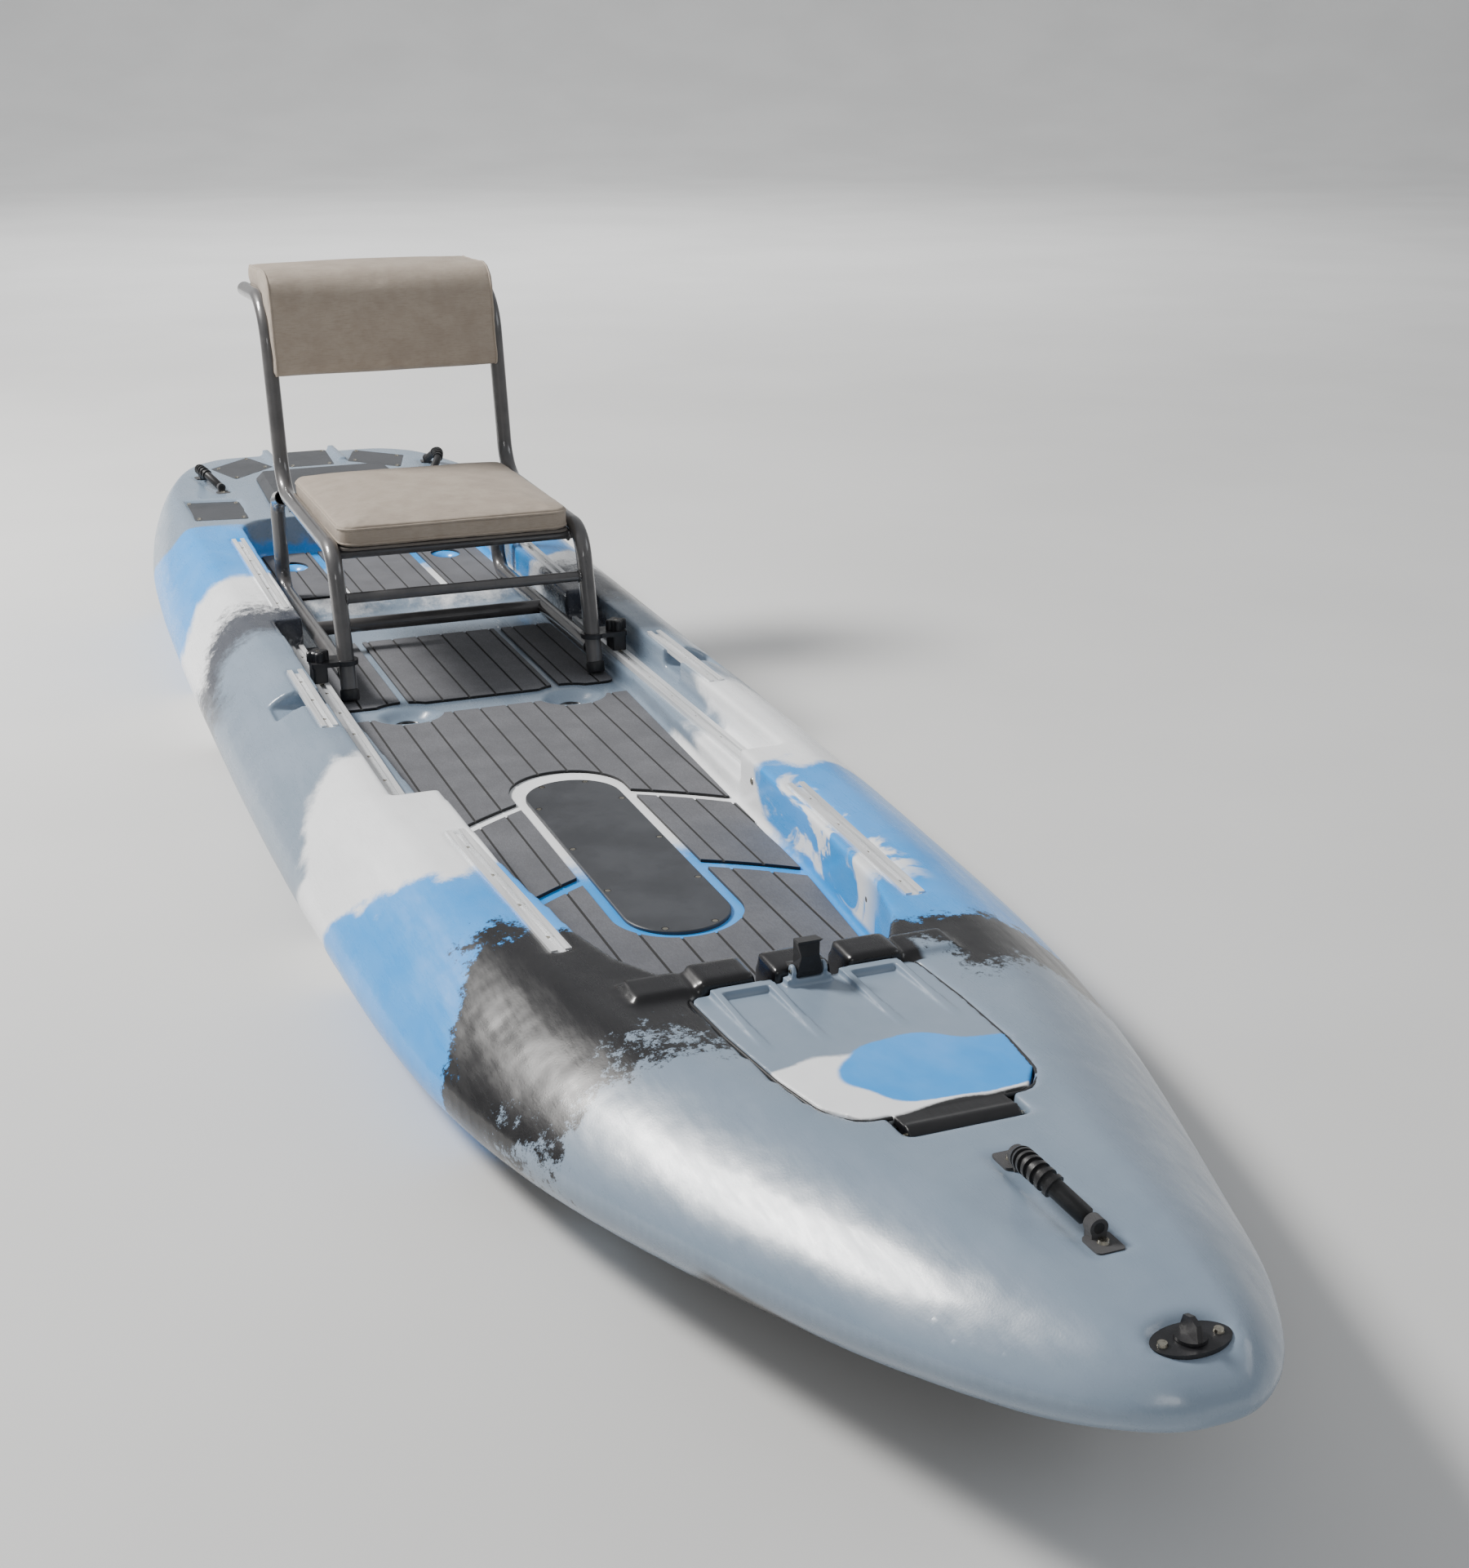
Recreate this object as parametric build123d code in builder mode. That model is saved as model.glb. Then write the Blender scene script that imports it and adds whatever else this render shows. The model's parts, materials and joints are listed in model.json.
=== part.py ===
"""Sit-on-top fishing kayak with a raised sliding seat, in millimetres.

+X runs to the bow, +Y to port and +Z up.  The origin is under the middle of the hull, at the
lowest level of its bottom.
"""
import os
from math import atan2, cos, hypot, pi, radians, sin

from build123d import *

os.makedirs("parts", exist_ok=True)

# ---------------------------------------------------------------- driving dimensions
WALL = 5.0                 # moulded polyethylene wall
FLOOR_Z = 100.0            # cockpit floor, under the pads
PAD_T = 5.0                # foam traction pad
PLATFORM_Z = 125.0         # raised floor behind the seat
LEDGE_Z = 133.0            # side ledges that carry the seat rails
OPEN_Z = 300.0             # any height above every deck, for cuts that open upwards

WELL_AFT_X = -1260.0       # aft wall of the rear well
PLATFORM_FRONT_X = -860.0  # front edge of the raised floor
RAMP_FOOT_X = -815.0
LEDGE_AFT_X = -517.0
LEDGE_FORE_X = 425.0
WELL_FORE_X = 1128.0       # front wall of the front well
WELL_HALF = 245.0

LID_AFT_X, LID_FORE_X = 1188.0, 1532.0
DECK_AT_LID_AFT, DECK_AT_LID_FORE = 191.0, 215.5   # deck heights that the lid lies level with
LID_DEPTH = 16.0
HATCH_FLOOR_Z = 96.0

SEAT_TUBE_R = 14.0
SEAT_TUBE_WALL = 2.0
SEAT_HALF = 216.0          # centre of each side tube from the middle
SEAT_LOWER_Z = 147.0

SIDES = {"port": 1, "starboard": -1}

# Hull stations from stern to bow: x, half beam, height of the widest line, half deck width,
# deck height, half width of the flat bottom, height of the bottom.  The keel is planed off at 0.
STATIONS = [
    (-1990, 120, 150, 90, 196, 80, 118),
    (-1960, 205, 140, 165, 207, 140, 95),
    (-1900, 280, 128, 235, 211, 190, 72),
    (-1780, 342, 112, 292, 213, 240, 48),
    (-1560, 395, 98, 338, 213, 290, 20),
    (-1250, 428, 84, 345, 207, 310, 4),
    (-900, 440, 76, 332, 194, 315, -1),
    (-450, 445, 72, 326, 186, 318, -1),
    (0, 444, 70, 322, 182, 315, -1),
    (400, 436, 70, 310, 182, 305, -1),
    (700, 424, 72, 288, 183, 290, -1),
    (950, 408, 78, 262, 186, 265, 4),
    (1185, 372, 88, 222, 191, 225, 14),
    (1375, 322, 104, 165, 204, 175, 32),
    (1550, 262, 124, 108, 217, 125, 56),
    (1700, 208, 142, 76, 227, 84, 84),
    (1810, 164, 160, 58, 231, 56, 112),
    (1890, 122, 172, 46, 230, 38, 134),
    (1945, 84, 182, 36, 224, 26, 156),
    (1978, 48, 188, 24, 210, 16, 172),
    (1990, 22, 191, 12, 200, 8, 182),
]


def station_slope(index, column):
    """Slope of a station column at one station, flattened where the column turns back."""
    if index in (0, len(STATIONS) - 1):
        near = STATIONS[1] if index == 0 else STATIONS[-2]
        return (near[column] - STATIONS[index][column]) / (near[0] - STATIONS[index][0])
    before, here, after = STATIONS[index - 1:index + 2]
    rise_in = (here[column] - before[column]) / (here[0] - before[0])
    rise_out = (after[column] - here[column]) / (after[0] - here[0])
    if rise_in * rise_out <= 0:
        return 0.0
    return 2 * rise_in * rise_out / (rise_in + rise_out)


def station_value(x, column):
    """Smooth value of one station column at any x along the hull, never past its neighbours."""
    x = min(max(x, STATIONS[0][0]), STATIONS[-1][0])
    index = max(i for i, station in enumerate(STATIONS[:-1]) if station[0] <= x)
    low, high = STATIONS[index], STATIONS[index + 1]
    run = high[0] - low[0]
    t = (x - low[0]) / run
    slope_in = run * station_slope(index, column)
    slope_out = run * station_slope(index + 1, column)
    start = (1 + 2 * t) * (1 - t) ** 2 * low[column] + t * (1 - t) ** 2 * slope_in
    end = t * t * (3 - 2 * t) * high[column] - t * t * (1 - t) * slope_out
    return start + end


def hull_section(x, half_beam, beam_z, half_deck, top_z, half_keel, keel_z):
    """One closed cross section: flat bottom, round bilge, sloping topside and flat deck."""
    rise = top_z - beam_z
    slope = half_beam - half_deck
    with BuildSketch(Plane.YZ.offset(x)) as section:
        with BuildLine():
            for side in (1, -1):
                Bezier(
                    (side * half_keel, keel_z),
                    (side * (half_keel + 0.75 * (half_beam - half_keel)), keel_z),
                    (side * half_beam, keel_z + 0.55 * (beam_z - keel_z)),
                    (side * half_beam, beam_z),
                )
                Bezier(
                    (side * half_beam, beam_z),
                    (side * half_beam, beam_z + 0.28 * rise),
                    (side * (half_deck + 0.34 * slope), top_z),
                    (side * half_deck, top_z),
                )
            Line((-half_keel, keel_z), (half_keel, keel_z))
            Line((-half_deck, top_z), (half_deck, top_z))
        make_face()
    return section.sketch


def inner_section(x, half_beam, beam_z, half_deck, top_z, half_keel, keel_z):
    """The same section one wall further in; the end sections also draw in along the hull."""
    end_share = max(0.0, abs(x) - 1940) / 50
    return hull_section(
        x * (1 - 0.0034 * end_share),
        half_beam - WALL * (1 + 0.4 * end_share),
        beam_z,
        half_deck - 0.5 * WALL,
        top_z - WALL,
        half_keel - 0.5 * WALL,
        keel_z + WALL,
    )


LOFT_COUNT = 30
HALF_LENGTH = STATIONS[-1][0]
LOFT_X = [-HALF_LENGTH * cos(pi * index / LOFT_COUNT) for index in range(LOFT_COUNT + 1)]
loft_stations = [[x] + [station_value(x, column) for column in range(1, 7)] for x in LOFT_X]

with BuildPart() as hull_outside:
    loft([hull_section(*station) for station in loft_stations])
    split(bisect_by=Plane.XY, keep=Keep.TOP)

with BuildPart() as hull_inside:
    loft([inner_section(*station) for station in loft_stations])


# ---------------------------------------------------------------- shared shapes
def mirrored(half):
    """Closed outline from its port half, given as (x, y) from aft to fore."""
    return list(half) + [(x, -y) for x, y in reversed(half)]


def prism(outline, low, high, grow=0.0, corner=0.0, plane=Plane.XY):
    """Upright solid over a plan outline, from height low to height high above the plane."""
    with BuildPart() as solid:
        with BuildSketch(plane.offset(low)):
            with BuildLine():
                Polyline(*outline, close=True)
            make_face()
            if corner:
                fillet(vertices(), radius=corner)
            if grow:
                offset(amount=grow, kind=Kind.INTERSECTION)
        extrude(amount=high - low)
    return solid.part


def post(x, y, low, high, radius, plane=Plane.XY):
    """Upright round bar."""
    with BuildPart() as solid:
        with BuildSketch(plane.offset(low)):
            with Locations((x, y)):
                Circle(radius)
        extrude(amount=high - low)
    return solid.part


def rectangle(x_low, x_high, half_width):
    return [(x_low, half_width), (x_high, half_width), (x_high, -half_width), (x_low, -half_width)]


def line_plane(start, end):
    """Plane with its origin at start, its x axis towards end, and its y axis level."""
    along = Vector(*end) - Vector(*start)
    across = Vector(0, 0, 1).cross(along).normalized()
    return Plane(origin=start, x_dir=along.normalized(), z_dir=along.normalized().cross(across))


def write(part, name):
    part.label = name
    export_step(part, f"parts/{name}.step")


# ---------------------------------------------------------------- gear tracks
TRACK_W, TRACK_H = 25.0, 9.0
TRACK_SLOT = 9.0
TRACK_GAP = 0.75            # between a track and the sides of its pocket
TRACK_FLOOR = 2.5           # metal left under the slot

TRACKS = {}
for side, sign in SIDES.items():
    TRACKS[f"track_front_{side}"] = ((591, sign * 241, 174.6), (1010, sign * 221, 178.8))
    TRACKS[f"track_mid_{side}"] = ((-212, sign * 311, 174.6), (97, sign * 311, 174.2))
    TRACKS[f"track_rear_{side}"] = ((-1116, sign * 269, 193.4), (-592, sign * 269, 180.0))

SEAT_RAIL_Y = 262.0
SEAT_RAILS = {
    f"seat_rail_{side}": ((-500, sign * SEAT_RAIL_Y, LEDGE_Z), (408, sign * SEAT_RAIL_Y, LEDGE_Z))
    for side, sign in SIDES.items()
}


def track_length(ends):
    return (Vector(*ends[1]) - Vector(*ends[0])).length


def track(ends):
    """Aluminium channel with an undercut slot, lying along the line between its two ends."""
    base = line_plane(*ends)
    half = [
        (TRACK_W / 2, 0), (TRACK_W / 2, TRACK_H), (TRACK_SLOT / 2, TRACK_H),
        (TRACK_SLOT / 2, 6.5), (9, 6.5), (9, TRACK_FLOOR),
    ]
    with BuildPart() as channel:
        with BuildSketch(Plane(origin=ends[0], x_dir=base.y_dir, z_dir=base.x_dir)):
            with BuildLine():
                Polyline(*half, *[(-x, z) for x, z in reversed(half)], close=True)
            make_face()
        extrude(amount=track_length(ends))
    return channel.part


def track_pocket(ends, grow=0.0):
    outline = rectangle(-TRACK_GAP, track_length(ends) + TRACK_GAP, TRACK_W / 2 + TRACK_GAP)
    return prism(outline, -grow, 60, grow=grow, plane=line_plane(*ends))


# ---------------------------------------------------------------- hull and deck mouldings
FLOOR_HALF = [
    (RAMP_FOOT_X - 2, WELL_HALF), (-126, 243), (429, 222), (714, 212), (962, 191), (1050, 170),
    (WELL_FORE_X, 128),
]
LEDGE_OUTLINE = mirrored([(LEDGE_AFT_X, 293), (LEDGE_FORE_X, 288)])
REAR_WELL = rectangle(WELL_AFT_X, RAMP_FOOT_X, WELL_HALF)
REAR_WELL_CORNER = 70.0
RAMP_SIDE = [
    (PLATFORM_FRONT_X - 2, PLATFORM_Z), (PLATFORM_FRONT_X, PLATFORM_Z), (RAMP_FOOT_X, FLOOR_Z),
    (RAMP_FOOT_X, OPEN_Z), (PLATFORM_FRONT_X - 2, OPEN_Z),
]
BLOCK_GAP_Y, BLOCK_GAP_W = 44.0, 17.0
STRAP_SLOT = {"x": (-104, -26), "y": (282, 372), "z": 152}

LID_TILT = atan2(DECK_AT_LID_FORE - DECK_AT_LID_AFT, LID_FORE_X - LID_AFT_X)
LID_PLANE = Plane(
    origin=(LID_AFT_X, 0, DECK_AT_LID_AFT),
    x_dir=(cos(LID_TILT), 0, sin(LID_TILT)),
    z_dir=(-sin(LID_TILT), 0, cos(LID_TILT)),
)
LID_LENGTH = hypot(DECK_AT_LID_FORE - DECK_AT_LID_AFT, LID_FORE_X - LID_AFT_X)
LID_HALF = [(0, 132), (110, 131), (230, 124), (305, 112), (LID_LENGTH, 84)]
LID_CORNER = 14.0
LID_GAP = 2.5
SHELF_DROP = LID_DEPTH + 3.0
HINGE_U = LID_LENGTH + 27.0           # hinge line, measured along the lid from its aft edge
HINGE_DROP = 11.5                     # and below the lid's top face
BARREL_R = 12.0
BARREL_HALF = 58.0
PIN_R = 3.0
RUNNING = 0.06                        # radial clearance of a turning fit
HINGE_POCKET = rectangle(LID_LENGTH - 8, LID_LENGTH + 46, 64)
HINGE_POCKET_DEPTH = 28.0
HATCH_BAY = mirrored([
    (LID_AFT_X + 14, 117), (1300, 116), (1415, 108), (1480, 96), (LID_FORE_X - 24, 74),
])

SCUPPER_R = 19.0
SCUPPER_WALL = 5.0
SCUPPERS = {"fore": (-155.0, 141.0, FLOOR_Z), "aft": (-1130.0, 160.0, PLATFORM_Z)}

DECK_PLATE_X = -1440.0
DECK_HOLE_R = 58.0
DRAIN_X, DRAIN_POCKET_Z = 1938.0, 219.0
DRAIN_HOLE_R = 11.0

PLATE_T = 3.0
STERN_PLATE_Z, SIDE_PLATE_Z = 208.6, 204.0
STERN_PLATES = {"stern_plate_centre": [(-1955, 64), (-1765, 52), (-1765, -52), (-1955, -64)]}
SIDE_PLATES = {}
for side, sign in SIDES.items():
    STERN_PLATES[f"stern_plate_{side}"] = [
        (-1925, sign * 128), (-1815, sign * 228), (-1675, sign * 190), (-1790, sign * 88),
    ]
    SIDE_PLATES[f"side_plate_{side}"] = [
        (-1479, sign * 330), (-1455, sign * 214), (-1273, sign * 222), (-1290, sign * 330),
    ]

HANDLES = {
    "bow_handle": {"ends": ((1655, 0, 220.5), (1810, 0, 227.5)), "lean": -42.0},
    "stern_handle_port": {"ends": ((-1725, 262, 209.0), (-1540, 238, 209.0)), "lean": 38.0},
    "stern_handle_starboard": {"ends": ((-1725, -262, 209.0), (-1540, -238, 209.0)), "lean": -38.0},
}
HANDLE_POCKET_MARGIN = 16.0
HANDLE_POCKET_HALF = 22.0


def handle_pocket(ends, grow=0.0):
    far_end = track_length(ends) + HANDLE_POCKET_MARGIN
    outline = rectangle(-HANDLE_POCKET_MARGIN, far_end, HANDLE_POCKET_HALF)
    return prism(outline, -grow, 60, grow=grow, plane=line_plane(*ends))


def hull_cavities(grow):
    """Every recess that opens upwards; grown by one wall they are the moulding round them."""
    floor_drop = grow * 1.2
    shapes = [
        prism(mirrored(FLOOR_HALF), FLOOR_Z - floor_drop, OPEN_Z, grow=grow),
        prism(LEDGE_OUTLINE, LEDGE_Z - floor_drop, OPEN_Z, grow=grow),
        prism(REAR_WELL, PLATFORM_Z - floor_drop, OPEN_Z, grow=grow, corner=REAR_WELL_CORNER),
        prism(HATCH_BAY, HATCH_FLOOR_Z - floor_drop, OPEN_Z, grow=grow, corner=20),
        prism(
            mirrored(LID_HALF), -SHELF_DROP - grow, 60,
            grow=grow + LID_GAP, corner=LID_CORNER, plane=LID_PLANE,
        ),
        prism(HINGE_POCKET, -HINGE_POCKET_DEPTH - grow, 60, grow=grow, plane=LID_PLANE),
    ]
    with BuildPart() as ramp:
        with BuildSketch(Plane.XZ):
            with BuildLine():
                Polyline(*RAMP_SIDE, close=True)
            make_face()
            if grow:
                offset(amount=grow, kind=Kind.INTERSECTION)
        extrude(amount=WELL_HALF + grow, both=True)
    shapes.append(ramp.part)
    gap_x = (WELL_FORE_X - 1, LID_AFT_X)
    for sign in SIDES.values():
        centre = sign * BLOCK_GAP_Y
        gap = [(x, centre + y) for x, y in rectangle(*gap_x, BLOCK_GAP_W / 2)]
        shapes.append(prism(gap, 150 - grow, OPEN_Z, grow=grow))
        slot_middle = sign * sum(STRAP_SLOT["y"]) / 2
        slot_half = (STRAP_SLOT["y"][1] - STRAP_SLOT["y"][0]) / 2
        slot = [(x, slot_middle + y) for x, y in rectangle(*STRAP_SLOT["x"], slot_half)]
        shapes.append(prism(slot, STRAP_SLOT["z"] - grow, OPEN_Z, grow=grow))
    shapes += [track_pocket(ends, grow) for ends in TRACKS.values()]
    shapes += [handle_pocket(handle["ends"], grow) for handle in HANDLES.values()]
    for plates, low in ((STERN_PLATES, STERN_PLATE_Z), (SIDE_PLATES, SIDE_PLATE_Z)):
        shapes += [prism(outline, low - grow, OPEN_Z, grow=grow + 1) for outline in plates.values()]
    return shapes


def drain_outline(grow):
    """Oval under the drain fitting, long across the hull."""
    with BuildSketch() as oval:
        with Locations((DRAIN_X, 0)):
            Ellipse(20 + grow, 35 + grow)
    return oval.sketch


def drain_cavity(grow):
    with BuildPart() as recess:
        with BuildSketch(Plane.XY.offset(DRAIN_POCKET_Z - grow)):
            add(drain_outline(2 + grow))
        extrude(amount=60)
    return recess.part


scupper_tubes = []
scupper_bores = []
for x, y, top in SCUPPERS.values():
    for sign in SIDES.values():
        low = station_value(x, 6)
        scupper_tubes.append(post(x, sign * y, low + 1, top - 1, SCUPPER_R + SCUPPER_WALL))
        scupper_bores.append(post(x, sign * y, low - 20, top + 20, SCUPPER_R))

walls = Part() + hull_cavities(WALL) + [drain_cavity(WALL)] + scupper_tubes
voids = Part() + hull_cavities(0.0) + [drain_cavity(0.0)] + scupper_bores
voids += [post(DECK_PLATE_X, 0, 190, OPEN_Z, DECK_HOLE_R), post(DRAIN_X, 0, 190, OPEN_Z, DRAIN_HOLE_R)]
hull = (hull_outside.part - hull_inside.part) + (hull_outside.part & walls) - voids

# The moulding parts along one line, low amidships and rising at both ends.
PARTING = [
    (-2010, 124), (-1780, 100), (-1560, 88), (-1250, 80), (-900, 74), (950, 74),
    (1520, 80), (1640, 122), (1810, 158), (2010, 189),
]
with BuildPart() as below_parting:
    with BuildSketch(Plane.XZ):
        with BuildLine():
            Polyline(*PARTING, (2010, -20), (-2010, -20), close=True)
        make_face()
    extrude(amount=500, both=True)

# Above that line the same moulding is cut into its stern deck, cockpit floor, two gunwales, the
# surround of the bow hatch and the bow deck.  The bottom and the gunwales are cut again into
# plain lengths: round each scupper, where the wells turn, and level with the ledges and slots.
HATCH_SURROUND_END_X = 1600.0
BOTTOM_CUTS = []
BOTTOM_LANES = []
for x, y, top in SCUPPERS.values():
    BOTTOM_CUTS += [x - 60, x + 60]
    BOTTOM_LANES += [(sign * (y + reach), x - 60, x + 60) for sign in (1, -1) for reach in (55, -55)]
WELL_TURNS_X = (WELL_AFT_X + REAR_WELL_CORNER, RAMP_FOOT_X - REAR_WELL_CORNER)
MID_TRACK_X = (-212.4, 97.4)
GUNWALE_CUTS = [
    *WELL_TURNS_X, RAMP_FOOT_X, LEDGE_AFT_X, *MID_TRACK_X, *STRAP_SLOT["x"], LEDGE_FORE_X, 714, 962, 1050,
]
GUNWALE_LEVELS = [
    (PLATFORM_Z, WELL_TURNS_X[1], RAMP_FOOT_X), (LEDGE_Z, LEDGE_AFT_X, LEDGE_FORE_X),
    (STRAP_SLOT["z"], *STRAP_SLOT["x"]), (175, *MID_TRACK_X),
]


def length_of_hull(x_low, x_high):
    return prism(rectangle(x_low, x_high, 500), -20, OPEN_Z)


def cut_up(solid, cuts, levels=(), lanes=()):
    """Solid cut across at each x of cuts; a level or a lane cuts again between two of them."""
    ends = [-2010, *sorted(cuts), 2010]
    pieces = []
    for low, high in zip(ends, ends[1:]):
        heights = [-20, *sorted(z for z, start, end in levels if start <= low < end), OPEN_Z]
        widths = [-500, *sorted(y for y, start, end in lanes if start <= low < end), 500]
        for bottom, top in zip(heights, heights[1:]):
            for right, left in zip(widths, widths[1:]):
                cell = prism([(low, right), (high, right), (high, left), (low, left)], bottom, top)
                pieces += (solid & cell).solids()
    return Compound(pieces)


write(cut_up(hull & below_parting.part, BOTTOM_CUTS, lanes=BOTTOM_LANES), "hull_bottom")
hull_top = hull - below_parting.part
floor_column = prism(mirrored(FLOOR_HALF), 0, OPEN_Z) + prism(REAR_WELL, 0, OPEN_Z, corner=REAR_WELL_CORNER)
middle = hull_top & length_of_hull(WELL_AFT_X, WELL_FORE_X)
gunwales = middle - floor_column
write(hull_top & length_of_hull(-2010, WELL_AFT_X), "stern_deck")
write(hull_top & length_of_hull(WELL_FORE_X, HATCH_SURROUND_END_X), "hatch_surround")
write(hull_top & length_of_hull(HATCH_SURROUND_END_X, 2010), "bow_deck")
write(middle & floor_column, "cockpit_floor")
for side, sign in SIDES.items():
    half = prism([(-2010, 0), (2010, 0), (2010, sign * 500), (-2010, sign * 500)], -20, OPEN_Z)
    write(cut_up(gunwales & half, GUNWALE_CUTS, GUNWALE_LEVELS), f"gunwale_{side}")


# ---------------------------------------------------------------- traction pads
SCREW_PLATE = {"aft": 325.0, "fore": 771.0, "radius": 71.0}
PAD_CORNER = 14.0
STRIP_W = 24.0                 # width of the bare channels between the pads
FRONT_PADS_HALF = [(-138, 235), (429, 212), (714, 202), (962, 180), (1040, 160), (1112, 112)]
SEAT_PADS = rectangle(-605, -206, 235)
REAR_PADS = rectangle(-1246, -868, 233)
REAR_STRIP_Y = 98.0
FORE_SCUPPERS, AFT_SCUPPERS = ([(x, y), (x, -y)] for x, y, top in SCUPPERS.values())


def channel_line(start_x, sign):
    """Centre line of a bare channel that runs out from the screw plate and bends forwards."""
    points = [(start_x, 80), (start_x + 38, 142), (start_x + 112, 236)]
    return [(x, sign * y) for x, y in points]


with BuildPart() as front_pads:
    with BuildSketch(Plane.XY.offset(FLOOR_Z)):
        with BuildLine():
            Polyline(*mirrored(FRONT_PADS_HALF), close=True)
        make_face()
        fillet(vertices().group_by(Axis.X)[-1], radius=30)
        for start_x in (334, 634):
            for sign in SIDES.values():
                with BuildLine():
                    ThreePointArc(*channel_line(start_x, sign))
                trace(line_width=STRIP_W, mode=Mode.SUBTRACT)
        with Locations(((SCREW_PLATE["aft"] + SCREW_PLATE["fore"]) / 2 - 14, 0)):
            SlotCenterToCenter(
                SCREW_PLATE["fore"] - SCREW_PLATE["aft"] + 28,
                2 * SCREW_PLATE["radius"] + 34,
                mode=Mode.SUBTRACT,
            )
        with Locations(*FORE_SCUPPERS):
            Circle(60, mode=Mode.SUBTRACT)
    extrude(amount=PAD_T)

pads = front_pads.part.solids().sort_by(Axis.X)
write(Part() + pads[0], "pad_front")
write(Part() + pads[1:-1], "pads_mid")
write(Part() + pads[-1], "pad_bow")

with BuildPart() as seat_pads:
    with BuildSketch(Plane.XY.offset(FLOOR_Z)):
        with BuildLine():
            Polyline(*SEAT_PADS, close=True)
        make_face()
        fillet(vertices(), radius=PAD_CORNER)
        with Locations((-405, 132), (-405, -132)):
            Rectangle(420, 14, mode=Mode.SUBTRACT)
        with Locations(*FORE_SCUPPERS):
            Circle(66, mode=Mode.SUBTRACT)
    extrude(amount=PAD_T)


def write_pads(pads, name):
    """Writes three pads that lie side by side: the middle one, and the outer two together."""
    starboard, centre, port = pads.solids().sort_by(Axis.Y)
    write(Part() + centre, f"pad_{name}_centre")
    write(Part() + [starboard, port], f"pads_{name}_sides")


write_pads(seat_pads.part, "seat")

with BuildPart() as rear_pads:
    with BuildSketch(Plane.XY.offset(PLATFORM_Z)):
        with BuildLine():
            Polyline(*REAR_PADS, close=True)
        make_face()
        fillet(vertices(), radius=44)
        with Locations((-1057, REAR_STRIP_Y), (-1057, -REAR_STRIP_Y)):
            Rectangle(400, 18, mode=Mode.SUBTRACT)
        with Locations(*AFT_SCUPPERS):
            Ellipse(42, 30, mode=Mode.SUBTRACT)
    extrude(amount=PAD_T)

write_pads(rear_pads.part, "rear")


# ---------------------------------------------------------------- screwed plates
SCREW_R = 2.0
HEAD_R, HEAD_H = 4.6, 2.4
OVAL_HEAD_DEPTH = 2.5        # the oval plate's screws are sunk level with its top


def screws(points, low, top, radius=SCREW_R, head_r=HEAD_R, head_h=HEAD_H, plane=Plane.XY):
    """Domed screws: shanks from low to top, heads standing on top."""
    with BuildPart() as group:
        for x, y in points:
            with BuildSketch(plane.offset(low)):
                with Locations((x, y)):
                    Circle(radius)
            extrude(amount=top - low)
            with BuildSketch(plane.offset(top)):
                with Locations((x, y)):
                    Circle(head_r)
            extrude(amount=head_h, taper=18)
    return group.part


def inset_corners(outline, inset):
    """Points set in from each corner towards the middle of an outline."""
    middle = [sum(values) / len(outline) for values in zip(*outline)]
    points = []
    for x, y in outline:
        reach = hypot(x - middle[0], y - middle[1])
        points.append((x + (middle[0] - x) * inset / reach, y + (middle[1] - y) * inset / reach))
    return points


def plate(outline, low, holes):
    with BuildPart() as panel:
        with BuildSketch(Plane.XY.offset(low)):
            with BuildLine():
                Polyline(*outline, close=True)
            make_face()
            fillet(vertices(), radius=10)
            with Locations(*holes):
                Circle(SCREW_R + 0.1, mode=Mode.SUBTRACT)
        extrude(amount=PLATE_T)
    return panel.part


deck_screws = Part()
for plates, low in ((STERN_PLATES, STERN_PLATE_Z), (SIDE_PLATES, SIDE_PLATE_Z)):
    for name, outline in plates.items():
        holes = inset_corners(outline, 18)
        write(plate(outline, low, holes), name)
        deck_screws += screws(holes, low, low + PLATE_T)

oval_middle = (SCREW_PLATE["aft"] + SCREW_PLATE["fore"]) / 2
oval_half = (SCREW_PLATE["fore"] - SCREW_PLATE["aft"]) / 2
oval_screw_r = SCREW_PLATE["radius"] - 8
oval_holes = []
for share in (-0.85, -0.1, 0.6):
    for sign in SIDES.values():
        oval_holes.append((oval_middle + share * oval_half, sign * oval_screw_r))
for centre, turn in ((SCREW_PLATE["fore"], 1), (SCREW_PLATE["aft"], -1)):
    for angle in (-32, 32):
        reach = turn * oval_screw_r
        oval_holes.append((centre + reach * cos(radians(angle)), reach * sin(radians(angle))))
with BuildPart() as oval_plate:
    with BuildSketch(Plane.XY.offset(FLOOR_Z)):
        with Locations((oval_middle, 0)):
            SlotCenterToCenter(2 * oval_half, 2 * SCREW_PLATE["radius"])
        with Locations(*oval_holes):
            Circle(SCREW_R + 0.1, mode=Mode.SUBTRACT)
    extrude(amount=PAD_T)
    chamfer(faces().sort_by(Axis.Z)[-1].outer_wire().edges(), length=1.2)
    with BuildSketch(Plane.XY.offset(FLOOR_Z + PAD_T - OVAL_HEAD_DEPTH)):
        with Locations(*oval_holes):
            Circle(HEAD_R + 0.2)
    extrude(amount=OVAL_HEAD_DEPTH, mode=Mode.SUBTRACT)
write(oval_plate.part, "oval_plate")
deck_screws += screws(oval_holes, FLOOR_Z, FLOOR_Z + PAD_T - OVAL_HEAD_DEPTH, head_h=OVAL_HEAD_DEPTH - 0.1)


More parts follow.
